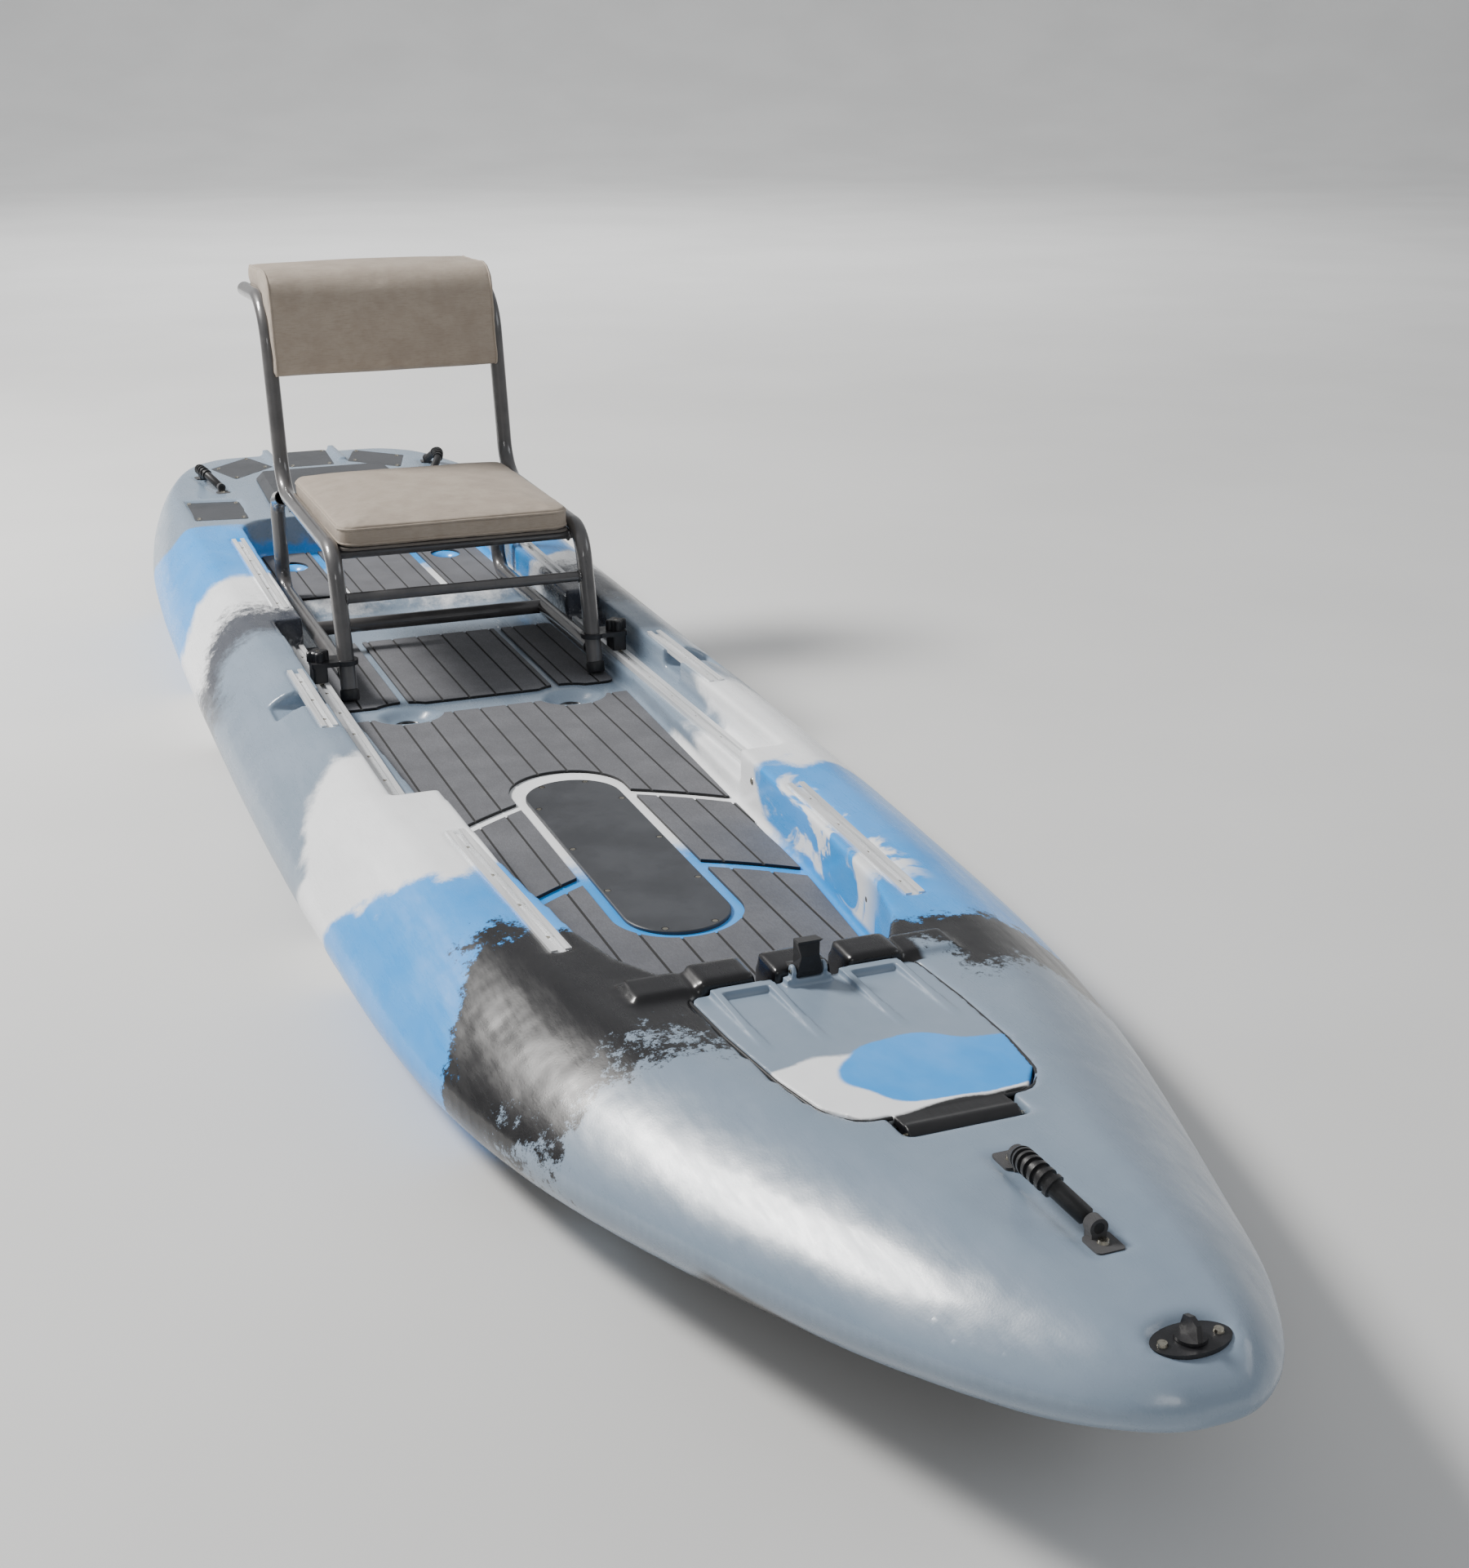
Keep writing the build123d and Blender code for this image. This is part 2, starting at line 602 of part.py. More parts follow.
# ---------------------------------------------------------------- gear tracks and seat rails
TRACK_SCREW_PITCH = 110.0
TRACK_HEAD_R, TRACK_HEAD_H = 4.2, 1.6       # sunk level with the floor of the slot
track_screws = Part()
for name, ends in {**TRACKS, **SEAT_RAILS}.items():
    length = track_length(ends)
    count = max(2, round(length / TRACK_SCREW_PITCH))
    seats = Part()
    for index in range(count):
        along = length * (index + 0.5) / count
        plane = line_plane(*ends)
        low = TRACK_FLOOR - TRACK_HEAD_H
        seats += post(along, 0, low - 0.1, TRACK_FLOOR, TRACK_HEAD_R + 0.1, plane=plane)
        track_screws += post(along, 0, low, TRACK_FLOOR - 0.1, TRACK_HEAD_R, plane=plane)
    write(track(ends) - seats, name)
write(track_screws, "track_screws")


# ---------------------------------------------------------------- bow hatch
LID_PLATE_T = 4.0
FIN_AT = (-106.0, -BLOCK_GAP_Y, BLOCK_GAP_Y, 106.0)
FIN_LENGTH, FIN_H, FIN_W = 165.0, 8.0, 9.0
LIP_H, LIP_DEPTH = 8.0, 15.0
LATCH_U, LATCH_W = 12.0, 16.0        # latch pivot on the lid: along it and above it
LATCH_PIN_R = 2.5
EAR_AT = 18.0


def lid_side_plane(along, above):
    """Upright plane down the middle of the lid, with its origin at a place along and above it."""
    return Plane(
        origin=LID_PLANE.from_local_coords((along, 0, above)), x_dir=LID_PLANE.x_dir, z_dir=(0, -1, 0),
    )


lid_side = lid_side_plane(0, 0)
latch_axis = lid_side_plane(LATCH_U, LATCH_W)
hinge_axis = lid_side_plane(HINGE_U, -HINGE_DROP)


def cross_bar(axis, radius, half_length):
    """Round bar across the hull, centred on the middle of an axis plane."""
    with BuildPart() as bar:
        with BuildSketch(axis):
            Circle(radius)
        extrude(amount=half_length, both=True)
    return bar.part


with BuildPart() as hatch_lid:
    with BuildSketch(LID_PLANE.offset(-LID_PLATE_T)):
        with BuildLine():
            Polyline(*mirrored(LID_HALF), close=True)
        make_face()
        fillet(vertices(), radius=LID_CORNER)
    extrude(amount=LID_PLATE_T)
    with BuildSketch(LID_PLANE.offset(-LID_DEPTH)):
        with BuildLine():
            Polyline(*mirrored(LID_HALF), close=True)
        make_face()
        fillet(vertices(), radius=LID_CORNER)
        offset(amount=-4, kind=Kind.INTERSECTION, mode=Mode.SUBTRACT)
    extrude(amount=LID_DEPTH - LID_PLATE_T)
    for v in FIN_AT:
        with BuildSketch(lid_side.offset(-v)):
            with BuildLine():
                Polyline(
                    (3, 0), (3, FIN_H), (14, FIN_H), (FIN_LENGTH, 0), (FIN_LENGTH, -1), (3, -1), close=True,
                )
            make_face()
        extrude(amount=FIN_W / 2, both=True)
    for v in (-76, 0, 76):
        with BuildSketch(LID_PLANE.offset(-1)):
            with Locations((2 + LIP_DEPTH / 2, v)):
                Rectangle(LIP_DEPTH, 52)
        extrude(amount=LIP_H + 1)
    with BuildSketch(latch_axis):
        Circle(7.5)
        with Locations((0, -LATCH_W / 2)):
            Rectangle(12, LATCH_W)
        Circle(LATCH_PIN_R + 0.02, mode=Mode.SUBTRACT)
    ears = extrude(amount=EAR_AT + 2.5, both=True, mode=Mode.PRIVATE)
    with BuildPart(mode=Mode.PRIVATE) as ear_gap:
        with BuildSketch(latch_axis):
            with Locations((0, 1)):
                Rectangle(40, 18)
        extrude(amount=EAR_AT - 2.5, both=True)
    add(ears - ear_gap.part)
    with BuildSketch(hinge_axis):
        Circle(BARREL_R)
        with Locations((-HINGE_U + LID_LENGTH + 10, HINGE_DROP - 5)):
            Rectangle(36, 9)
        Circle(PIN_R + RUNNING, mode=Mode.SUBTRACT)
    extrude(amount=BARREL_HALF, both=True)
lid = hatch_lid.part - cross_bar(latch_axis, LATCH_PIN_R + 0.02, EAR_AT + 4)
write(lid, "hatch_lid")

with BuildPart() as hatch_gasket:
    with BuildSketch(LID_PLANE.offset(-SHELF_DROP)):
        with BuildLine():
            Polyline(*mirrored(LID_HALF), close=True)
        make_face()
        fillet(vertices(), radius=LID_CORNER)
        offset(amount=-9, kind=Kind.INTERSECTION, mode=Mode.SUBTRACT)
    extrude(amount=2.6)
write(hatch_gasket.part, "hatch_gasket")
write(cross_bar(hinge_axis, PIN_R, 63.9), "hatch_hinge_pin")
write(cross_bar(latch_axis, LATCH_PIN_R, EAR_AT + 3.5), "hatch_latch_pin")

with BuildPart() as hatch_latch:
    with BuildSketch(latch_axis):
        with BuildLine():
            Polyline(
                (-30, -7), (-5, -5.5), (5, -5.5), (7.2, 0), (9, 20), (6, 36), (12, 42), (-8, 40), (-7, 8),
                (-30, 0), close=True,
            )
        make_face()
        Circle(LATCH_PIN_R + RUNNING, mode=Mode.SUBTRACT)
    extrude(amount=EAR_AT - 3, both=True)
write(hatch_latch.part, "hatch_latch")


# ---------------------------------------------------------------- carrying handles
TAB_L, TAB_W, TAB_T = 30.0, 26.0, 3.0
LOOP_R = 8.5
PIVOT_H = 12.0                # swing line above the handle's pocket floor
STUB_R = 5.0
GRIP_R, RIB_R = 8.5, 11.0
GRIP_RISE = 34.0
handle_tabs = Part()
for name, handle in HANDLES.items():
    start, end = handle["ends"]
    base = line_plane(start, end)
    span = track_length((start, end))
    loops = ((TAB_L / 2 - 8, TAB_L / 2 + 4), (span - TAB_L / 2 - 4, span - TAB_L / 2 + 8))
    with BuildPart() as tabs:
        for x, (loop_low, loop_high) in zip((0, span), loops):
            with BuildSketch(base):
                with Locations((x, 0)):
                    RectangleRounded(TAB_L, TAB_W, 4)
                    Circle(SCREW_R + 0.6, mode=Mode.SUBTRACT)
            extrude(amount=TAB_T)
            loop_start = base.from_local_coords((loop_low, 0, PIVOT_H))
            with BuildSketch(Plane(origin=loop_start, x_dir=base.y_dir, z_dir=base.x_dir)):
                Circle(LOOP_R)
                with Locations((0, -PIVOT_H / 2)):
                    Rectangle(14, PIVOT_H)
                Circle(STUB_R + RUNNING, mode=Mode.SUBTRACT)
            extrude(amount=loop_high - loop_low)
    handle_tabs += tabs.part
    deck_screws += screws(
        [(0, 0), (span, 0)], 0, TAB_T, radius=SCREW_R + 0.5, head_r=5.5, head_h=2.8, plane=base,
    )

    lean = radians(handle["lean"])
    up = base.z_dir * cos(lean) + base.y_dir * sin(lean)
    arc_plane = Plane(
        origin=base.from_local_coords((span / 2, 0, PIVOT_H)),
        x_dir=base.x_dir,
        z_dir=base.x_dir.cross(up),
    )
    stub_end = span / 2 - TAB_L / 2 + 8
    arc_end = span / 2 - TAB_L / 2 - 14
    with BuildPart() as grip:
        with BuildLine(arc_plane) as arc:
            ThreePointArc((-arc_end, 0), (0, GRIP_RISE), (arc_end, 0))
        with BuildSketch(Plane(origin=arc.line @ 0, z_dir=arc.line % 0)):
            Circle(GRIP_R)
        sweep(path=arc.line)
        for index in range(7):
            share = 0.29 + 0.07 * index
            with BuildSketch(Plane(origin=arc.line @ share, z_dir=arc.line % share)):
                Circle(RIB_R)
            extrude(amount=2, both=True)
        for turn in (1, -1):
            stub_start = arc_plane.from_local_coords((turn * (arc_end - 3), 0))
            with BuildSketch(Plane(origin=stub_start, z_dir=base.x_dir * turn)):
                Circle(STUB_R)
            extrude(amount=stub_end - arc_end + 3)
    write(grip.part, f"{name}_grip")
write(handle_tabs, "handle_tabs")


# ---------------------------------------------------------------- bow drain
FLANGE_T = 4.0
PLUG_R = 9.0
DRAIN_SCREWS = [(DRAIN_X, 25), (DRAIN_X, -25)]
with BuildPart() as drain_flange:
    with BuildSketch(Plane.XY.offset(DRAIN_POCKET_Z)):
        add(drain_outline(0))
        with Locations((DRAIN_X, 0)):
            Circle(PLUG_R + RUNNING, mode=Mode.SUBTRACT)
        with Locations(*DRAIN_SCREWS):
            Circle(SCREW_R + 0.1, mode=Mode.SUBTRACT)
    extrude(amount=FLANGE_T)
write(drain_flange.part, "drain_flange")
deck_screws += screws(DRAIN_SCREWS, DRAIN_POCKET_Z, DRAIN_POCKET_Z + FLANGE_T)
write(deck_screws, "deck_screws")

with BuildPart() as drain_plug:
    with BuildSketch(Plane.XY.offset(DRAIN_POCKET_Z - 12)):
        with Locations((DRAIN_X, 0)):
            Circle(PLUG_R)
    extrude(amount=12 + FLANGE_T + 0.4)
    with BuildSketch(Plane.XY.offset(DRAIN_POCKET_Z + FLANGE_T + 0.4)):
        with Locations((DRAIN_X, 0)):
            Circle(13)
    extrude(amount=3)
    with BuildSketch(Plane.XZ):
        with BuildLine():
            Polyline((-13, 0), (13, 0), (9, 13), (0, 16), (-9, 13), close=True)
        make_face()
    wing = extrude(amount=2.2, both=True, mode=Mode.PRIVATE)
    add(wing.moved(Location((DRAIN_X, 0, DRAIN_POCKET_Z + FLANGE_T + 3))))
write(drain_plug.part, "drain_plug")


# ---------------------------------------------------------------- stern box lid and deck plate
STERN_LID_LOW, STERN_LID_TOP = 213.6, 233.0
STERN_LID = [(-1652, 150), (-1352, 164)]
RING_R, RING_T = 74.0, 4.0
CAP_R, CAP_T = 60.0, 7.0
with BuildPart() as stern_lid:
    with BuildSketch(Plane.XY.offset(STERN_LID_LOW)):
        with BuildLine():
            Polyline(*mirrored(STERN_LID), close=True)
        make_face()
        fillet(vertices(), radius=24)
    extrude(amount=STERN_LID_TOP - STERN_LID_LOW)
    chamfer(faces().sort_by(Axis.Z)[-1].edges(), length=15)
    with BuildSketch(Plane.XY.offset(STERN_LID_LOW)):
        with Locations((DECK_PLATE_X, 0)):
            Circle(CAP_R + 1)
    extrude(amount=STERN_LID_TOP, mode=Mode.SUBTRACT)
write(stern_lid.part, "stern_lid")

with BuildPart() as deck_plate_ring:
    with BuildSketch(Plane.XY.offset(STERN_LID_TOP)):
        with Locations((DECK_PLATE_X, 0)):
            Circle(RING_R)
            Circle(CAP_R + RUNNING, mode=Mode.SUBTRACT)
    extrude(amount=RING_T)
    chamfer(faces().sort_by(Axis.Z)[-1].outer_wire().edges(), length=2)
write(deck_plate_ring.part, "deck_plate_ring")

with BuildPart() as deck_plate_cap:
    with BuildSketch(Plane.XY.offset(STERN_LID_TOP - CAP_T)):
        with Locations((DECK_PLATE_X, 0)):
            Circle(CAP_R)
    extrude(amount=CAP_T + 2)
    with BuildSketch(Plane.XY.offset(STERN_LID_TOP + 2)):
        with Locations((DECK_PLATE_X, 0)):
            with PolarLocations(30, 2, start_angle=0):
                Rectangle(24, 9)
    extrude(amount=4)
write(deck_plate_cap.part, "deck_plate_cap")


# ---------------------------------------------------------------- seat frame
FRONT_LEG = (-252, 112)
FRONT_BEND = (-314, 350)
BACK_BEND = (-802, 356)
BACK_TOP = (-862, 704)
CURL_END = (-1092, 698)
REAR_LEG_X = -900.0
SEAT_TUBE_PATH = [FRONT_LEG, FRONT_BEND, BACK_BEND, BACK_TOP, CURL_END]
SEAT_TUBE_BENDS = [62, 75, 95]
LOWER_PATH = [(-278, SEAT_LOWER_Z), (REAR_LEG_X, SEAT_LOWER_Z), (REAR_LEG_X, 322), (-832, 338)]
LOWER_BENDS = [42, 34]


def side_bar(y, path_points, bends, radius):
    """Bent round bar in an upright plane at one side of the seat."""
    with BuildPart() as bar:
        with BuildLine(Plane.XZ.offset(-y)) as path:
            FilletPolyline(*path_points, radius=bends)
        with BuildSketch(Plane(origin=path.line @ 0, z_dir=path.line % 0)):
            Circle(radius)
        sweep(path=path.line)
    return bar.part


bore_r = SEAT_TUBE_R - SEAT_TUBE_WALL
seat_bars = {}
lower_bars = {}
for side, sign in SIDES.items():
    y = sign * SEAT_HALF
    seat_bars[side] = side_bar(y, SEAT_TUBE_PATH, SEAT_TUBE_BENDS, SEAT_TUBE_R)
    lower_bars[side] = side_bar(y, LOWER_PATH, LOWER_BENDS, SEAT_TUBE_R)
    seat_tube = seat_bars[side] - side_bar(y, SEAT_TUBE_PATH, SEAT_TUBE_BENDS, bore_r)
    lower_tube = lower_bars[side] - side_bar(y, LOWER_PATH, LOWER_BENDS, bore_r) - seat_bars[side]
    write(seat_tube, f"seat_side_tube_{side}")
    write(lower_tube, f"seat_lower_tube_{side}")

# Crossbars as place along the hull, height and radius.
CROSSBARS = [
    (-294, 272, 9.0), (-356, 334, 9.0), (-760, 334, 9.0), (-575, SEAT_LOWER_Z, 13.0), (-1078, 698, 11.0),
]
all_bars = Part() + list(seat_bars.values()) + list(lower_bars.values())
seat_crossbars = Part()
for x, z, radius in CROSSBARS:
    bar = cross_bar(Plane(origin=(x, 0, z), x_dir=(1, 0, 0), z_dir=(0, -1, 0)), radius, SEAT_HALF)
    seat_crossbars += bar - all_bars
write(seat_crossbars, "seat_crossbars")

CUSHION_HALF = 200.0
CUSHION_X, CUSHION_L = -554.0, 452.0
SEAT_BASE_Z, SEAT_BASE_T = 344.0, 4.0
with BuildPart() as seat_base:
    with BuildSketch(Plane.XY.offset(SEAT_BASE_Z)):
        with Locations((CUSHION_X, 0)):
            RectangleRounded(CUSHION_L, 2 * CUSHION_HALF, 20)
    extrude(amount=SEAT_BASE_T)
write(seat_base.part, "seat_base")

with BuildPart() as seat_cushion:
    with BuildSketch(Plane.XY.offset(SEAT_BASE_Z + SEAT_BASE_T + 0.3)):
        with Locations((CUSHION_X, 0)):
            RectangleRounded(CUSHION_L, 2 * CUSHION_HALF, 26)
    extrude(amount=48)
    fillet(faces().sort_by(Axis.Z)[-1].edges(), radius=12)
write(seat_cushion.part, "seat_cushion")

BACK_PROFILE = [(-812, 566), (-836, 752), (-1058, 748), (-1058, 712), (-886, 706), (-862, 566)]
BACK_CORNER_R = [8, 62, 14, 14, 26, 8]
with BuildPart() as back_cushion:
    with BuildSketch(Plane.XZ):
        with BuildLine():
            FilletPolyline(*BACK_PROFILE, radius=BACK_CORNER_R, close=True)
        make_face()
    extrude(amount=CUSHION_HALF, both=True)
write(back_cushion.part, "back_cushion")


# ---------------------------------------------------------------- seat clamps
CLAMP_X = -274.0
RAIL_TOP = LEDGE_Z + TRACK_H
ARM_LOW, ARM_T = 168.0, 8.0
BOLT_R = 4.0
KNOB_H = 17.0
leg_lean = (FRONT_BEND[0] - FRONT_LEG[0]) / (FRONT_BEND[1] - FRONT_LEG[1])
collar_x = FRONT_LEG[0] + leg_lean * (ARM_LOW - FRONT_LEG[1])
clamp_bolts = Part()
for side, sign in SIDES.items():
    y = sign * SEAT_RAIL_Y
    with BuildPart() as clamp_base:
        with BuildSketch(Plane.XY.offset(RAIL_TOP + 0.5)):
            with Locations((CLAMP_X, y)):
                RectangleRounded(44, 24, 4)
        extrude(amount=ARM_LOW - RAIL_TOP - 0.5)
        with BuildSketch(Plane.XY.offset(ARM_LOW)):
            with Locations((CLAMP_X, sign * (SEAT_HALF + SEAT_RAIL_Y) / 2 + sign * 7)):
                RectangleRounded(44, SEAT_RAIL_Y - SEAT_HALF + 14, 4)
            with Locations((collar_x, sign * SEAT_HALF)):
                Circle(SEAT_TUBE_R + 6)
        extrude(amount=ARM_T)
        with BuildSketch(Plane.XY.offset(RAIL_TOP)):
            with Locations((CLAMP_X, y)):
                Circle(BOLT_R + 0.3)
        extrude(amount=60, mode=Mode.SUBTRACT)
    write(clamp_base.part - seat_bars[side] - lower_bars[side], f"clamp_base_{side}")
    with BuildPart() as clamp_knob:
        with BuildSketch(Plane.XY.offset(ARM_LOW + ARM_T + 0.4)):
            with Locations((CLAMP_X, y)):
                Circle(13)
                with PolarLocations(12, 4):
                    Circle(6.5)
                Circle(BOLT_R + RUNNING, mode=Mode.SUBTRACT)
        extrude(amount=KNOB_H)
        chamfer(faces().sort_by(Axis.Z)[-1].outer_wire().edges(), length=2)
    write(clamp_knob.part, f"clamp_knob_{side}")
    clamp_bolts += post(CLAMP_X, y, LEDGE_Z + 4, ARM_LOW + ARM_T + KNOB_H, BOLT_R)
    head = [(CLAMP_X + dx, y + dy) for dx, dy in rectangle(-8, 8, 8)]
    clamp_bolts += prism(head, LEDGE_Z + 2.9, LEDGE_Z + 6.1)
write(clamp_bolts, "clamp_bolts")
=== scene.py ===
"""Looks of a sit-on-top fishing kayak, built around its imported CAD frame.

Everything is in metres: +X runs to the bow, +Y to port and +Z up.
"""
import json
import math

import bmesh
import bpy
import numpy as np
from mathutils import Matrix, Vector, noise
from mathutils.bvhtree import BVHTree


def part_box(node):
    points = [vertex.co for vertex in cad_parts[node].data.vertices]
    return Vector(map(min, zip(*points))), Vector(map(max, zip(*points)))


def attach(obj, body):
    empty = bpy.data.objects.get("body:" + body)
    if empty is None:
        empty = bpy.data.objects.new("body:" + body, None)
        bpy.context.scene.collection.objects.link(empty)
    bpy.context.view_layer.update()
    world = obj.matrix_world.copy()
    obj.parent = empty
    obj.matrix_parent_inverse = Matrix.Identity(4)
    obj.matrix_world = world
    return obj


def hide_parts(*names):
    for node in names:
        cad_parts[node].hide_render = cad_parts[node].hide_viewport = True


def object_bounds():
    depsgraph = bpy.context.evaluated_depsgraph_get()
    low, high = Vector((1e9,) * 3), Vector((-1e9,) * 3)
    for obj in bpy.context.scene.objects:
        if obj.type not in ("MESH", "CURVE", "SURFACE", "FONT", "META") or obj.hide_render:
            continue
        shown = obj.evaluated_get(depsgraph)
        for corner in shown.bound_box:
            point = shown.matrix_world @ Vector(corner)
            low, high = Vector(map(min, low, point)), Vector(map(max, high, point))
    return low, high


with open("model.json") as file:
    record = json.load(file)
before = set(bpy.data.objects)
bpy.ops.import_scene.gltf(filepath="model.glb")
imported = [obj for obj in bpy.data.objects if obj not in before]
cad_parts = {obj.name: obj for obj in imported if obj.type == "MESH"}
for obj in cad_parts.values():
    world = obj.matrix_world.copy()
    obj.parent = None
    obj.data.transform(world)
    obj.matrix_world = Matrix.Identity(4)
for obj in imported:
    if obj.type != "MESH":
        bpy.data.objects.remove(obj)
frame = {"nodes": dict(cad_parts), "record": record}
cad_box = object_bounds()
scene = bpy.context.scene
SIDES = {"port": 1, "starboard": -1}


# ---------------------------------------------------------------- camera, floor and light
CAMERA_AT = Vector((3.0365, -0.7930, 1.1515))
CAMERA_AZIMUTH, CAMERA_ELEVATION, CAMERA_ROLL = (math.radians(a) for a in (-21.10, 20.08, -0.283))
LENS = 46.85


def make_camera():
    """A camera standing off the bow and looking back along the deck."""
    level = math.cos(CAMERA_ELEVATION)
    forward = Vector((
        -math.cos(CAMERA_AZIMUTH) * level, -math.sin(CAMERA_AZIMUTH) * level, -math.sin(CAMERA_ELEVATION),
    ))
    right = forward.cross(Vector((0, 0, 1))).normalized()
    up = right.cross(forward)
    tilted_right = math.cos(CAMERA_ROLL) * right + math.sin(CAMERA_ROLL) * up
    tilted_up = -math.sin(CAMERA_ROLL) * right + math.cos(CAMERA_ROLL) * up
    data = bpy.data.cameras.new("camera")
    data.lens = LENS
    data.sensor_width = 36.0
    camera = bpy.data.objects.new("camera", data)
    scene.collection.objects.link(camera)
    camera.matrix_world = Matrix.Translation(CAMERA_AT) @ Matrix((
        (tilted_right.x, tilted_up.x, -forward.x),
        (tilted_right.y, tilted_up.y, -forward.y),
        (tilted_right.z, tilted_up.z, -forward.z),
    )).to_4x4()
    scene.camera = camera


def make_light(name, at, aim, size, power, colour=(1, 1, 1)):
    data = bpy.data.lights.new(name, "AREA")
    data.shape = "RECTANGLE"
    data.size, data.size_y = size
    data.energy = power
    data.color = colour
    light = bpy.data.objects.new(name, data)
    scene.collection.objects.link(light)
    light.location = at
    light.rotation_euler = (Vector(aim) - Vector(at)).to_track_quat("-Z", "Y").to_euler()


def make_world(colour, strength):
    world = bpy.data.worlds.new("studio")
    world.use_nodes = True
    background = world.node_tree.nodes["Background"]
    background.inputs["Color"].default_value = (*colour, 1)
    background.inputs["Strength"].default_value = strength
    scene.world = world


# ---------------------------------------------------------------- materials
def paint(red, green, blue):
    """Linear colour from everyday 0 to 255 values."""
    def linear(value):
        value /= 255
        return value / 12.92 if value <= 0.04045 else ((value + 0.055) / 1.055) ** 2.4
    return (linear(red), linear(green), linear(blue), 1.0)


class Shader:
    """A material under construction. Each method adds a node and returns its output socket."""

    def __init__(self, name, **constants):
        self.material = bpy.data.materials.new(name)
        self.material.use_nodes = True
        self.tree = self.material.node_tree
        self.tree.nodes.clear()
        output = self.tree.nodes.new("ShaderNodeOutputMaterial")
        self.surface = self.tree.nodes.new("ShaderNodeBsdfPrincipled")
        self.tree.links.new(self.surface.outputs["BSDF"], output.inputs["Surface"])
        for socket, value in constants.items():
            self.surface.inputs[socket.replace("_", " ")].default_value = value
        self.place = self.add("ShaderNodeTexCoord", out="Object")

    def put(self, socket, value):
        if isinstance(value, bpy.types.NodeSocket):
            self.tree.links.new(value, socket)
        else:
            socket.default_value = value

    def add(self, kind, inputs=None, out=0, **settings):
        node = self.tree.nodes.new(kind)
        for key, value in settings.items():
            setattr(node, key, value)
        for key, value in (inputs or {}).items():
            self.put(node.inputs[key], value)
        return node.outputs[out]

    def math(self, operation, a, b=0.0, clamp=False):
        return self.add("ShaderNodeMath", {0: a, 1: b}, operation=operation, use_clamp=clamp)

    def axes(self, vector=None):
        node = self.tree.nodes.new("ShaderNodeSeparateXYZ")
        self.put(node.inputs[0], vector or self.place)
        return node.outputs

    def stretched(self, scale, offset=(0, 0, 0)):
        """Place in space, stretched along each axis."""
        return self.add("ShaderNodeMapping", {"Vector": self.place, "Scale": scale, "Location": offset})

    def noise(self, scale, detail=3.0, rough=0.5, at=None, distortion=0.0):
        return self.add("ShaderNodeTexNoise", {
            "Vector": at or self.place, "Scale": scale, "Detail": detail, "Roughness": rough,
            "Distortion": distortion,
        })

    def ramp(self, value, low, high, to_low=0.0, to_high=1.0):
        return self.add("ShaderNodeMapRange", {
            "Value": value, "From Min": low, "From Max": high, "To Min": to_low, "To Max": to_high,
        }, interpolation_type="SMOOTHSTEP")

    def mix(self, share, a, b):
        node = self.tree.nodes.new("ShaderNodeMix")
        node.data_type = "RGBA"
        self.put(node.inputs[0], share)
        self.put(node.inputs[6], a)
        self.put(node.inputs[7], b)
        return node.outputs[2]

    def bump(self, height, strength, distance, normal=None):
        inputs = {"Height": height, "Strength": strength, "Distance": distance}
        if normal:
            inputs["Normal"] = normal
        return self.add("ShaderNodeBump", inputs)

    def finish(self, colour, roughness, normal=None, metallic=None):
        self.put(self.surface.inputs["Base Color"], colour)
        self.put(self.surface.inputs["Roughness"], roughness)
        if normal:
            self.put(self.surface.inputs["Normal"], normal)
        if metallic is not None:
            self.put(self.surface.inputs["Metallic"], metallic)
        return self.material


GREY, WHITE, BLUE, BLACK = paint(126, 143, 161), paint(246, 248, 250), paint(4, 152, 238), paint(15, 14, 17)
SMEAR = paint(62, 66, 76)
# Painted shade inside the scupper bores.
BORE_SHADE_TONE = paint(22, 26, 31)
BAND_TOP_Z, BAND_LOW_Z = 0.18, 0.09
# Dished floor round each scupper: x, y, height, reach along and across, and depth.
DISHES = [(-0.155, 0.141, 0.100, 0.044, 0.054, 0.015), (-1.130, 0.160, 0.125, 0.040, 0.028, 0.008)]
# The painted shade in a scupper bore fades in between these distances from its middle.
BORE_SHADE_FADE = (0.0225, 0.0205)

# Where each moulded colour starts, from the stern forwards: at the gunwale, low on the side,
# the colour, half the width of its soft edge, and how far the edge is spattered.
BANDS = {
    "starboard": [
        (-1.198, -1.353, BLUE, 0.020, 0.012), (-0.860, -0.764, WHITE, 0.030, 0.020),
        (-0.646, -0.452, SMEAR, 0.060, 0.090), (-0.430, -0.300, GREY, 0.060, 0.060),
        (0.265, 0.467, WHITE, 0.030, 0.020), (0.763, 0.676, BLUE, 0.016, 0.014),
        (0.949, 1.110, BLACK, 0.010, 0.060), (1.268, 1.278, GREY, 0.012, 0.090),
    ],
    "port": [
        (-0.880, -1.000, BLUE, 0.020, 0.012), (-0.760, -0.820, WHITE, 0.020, 0.020),
        (-0.651, -0.500, SMEAR, 0.050, 0.080), (-0.480, -0.380, GREY, 0.060, 0.060),
        (0.125, 0.300, WHITE, 0.040, 0.020), (0.504, 0.560, BLUE, 0.018, 0.014),
        (1.022, 1.060, BLACK, 0.010, 0.050), (1.189, 1.240, GREY, 0.014, 0.070),
    ],
    "floor": [
        (-1.060, -1.060, WHITE, 0.030, 0.020), (-0.840, -0.840, GREY, 0.040, 0.030),
        (0.180, 0.180, WHITE, 0.040, 0.020), (0.620, 0.620, BLUE, 0.050, 0.030),
        (1.120, 1.120, BLACK, 0.008, 0.010),
    ],
}


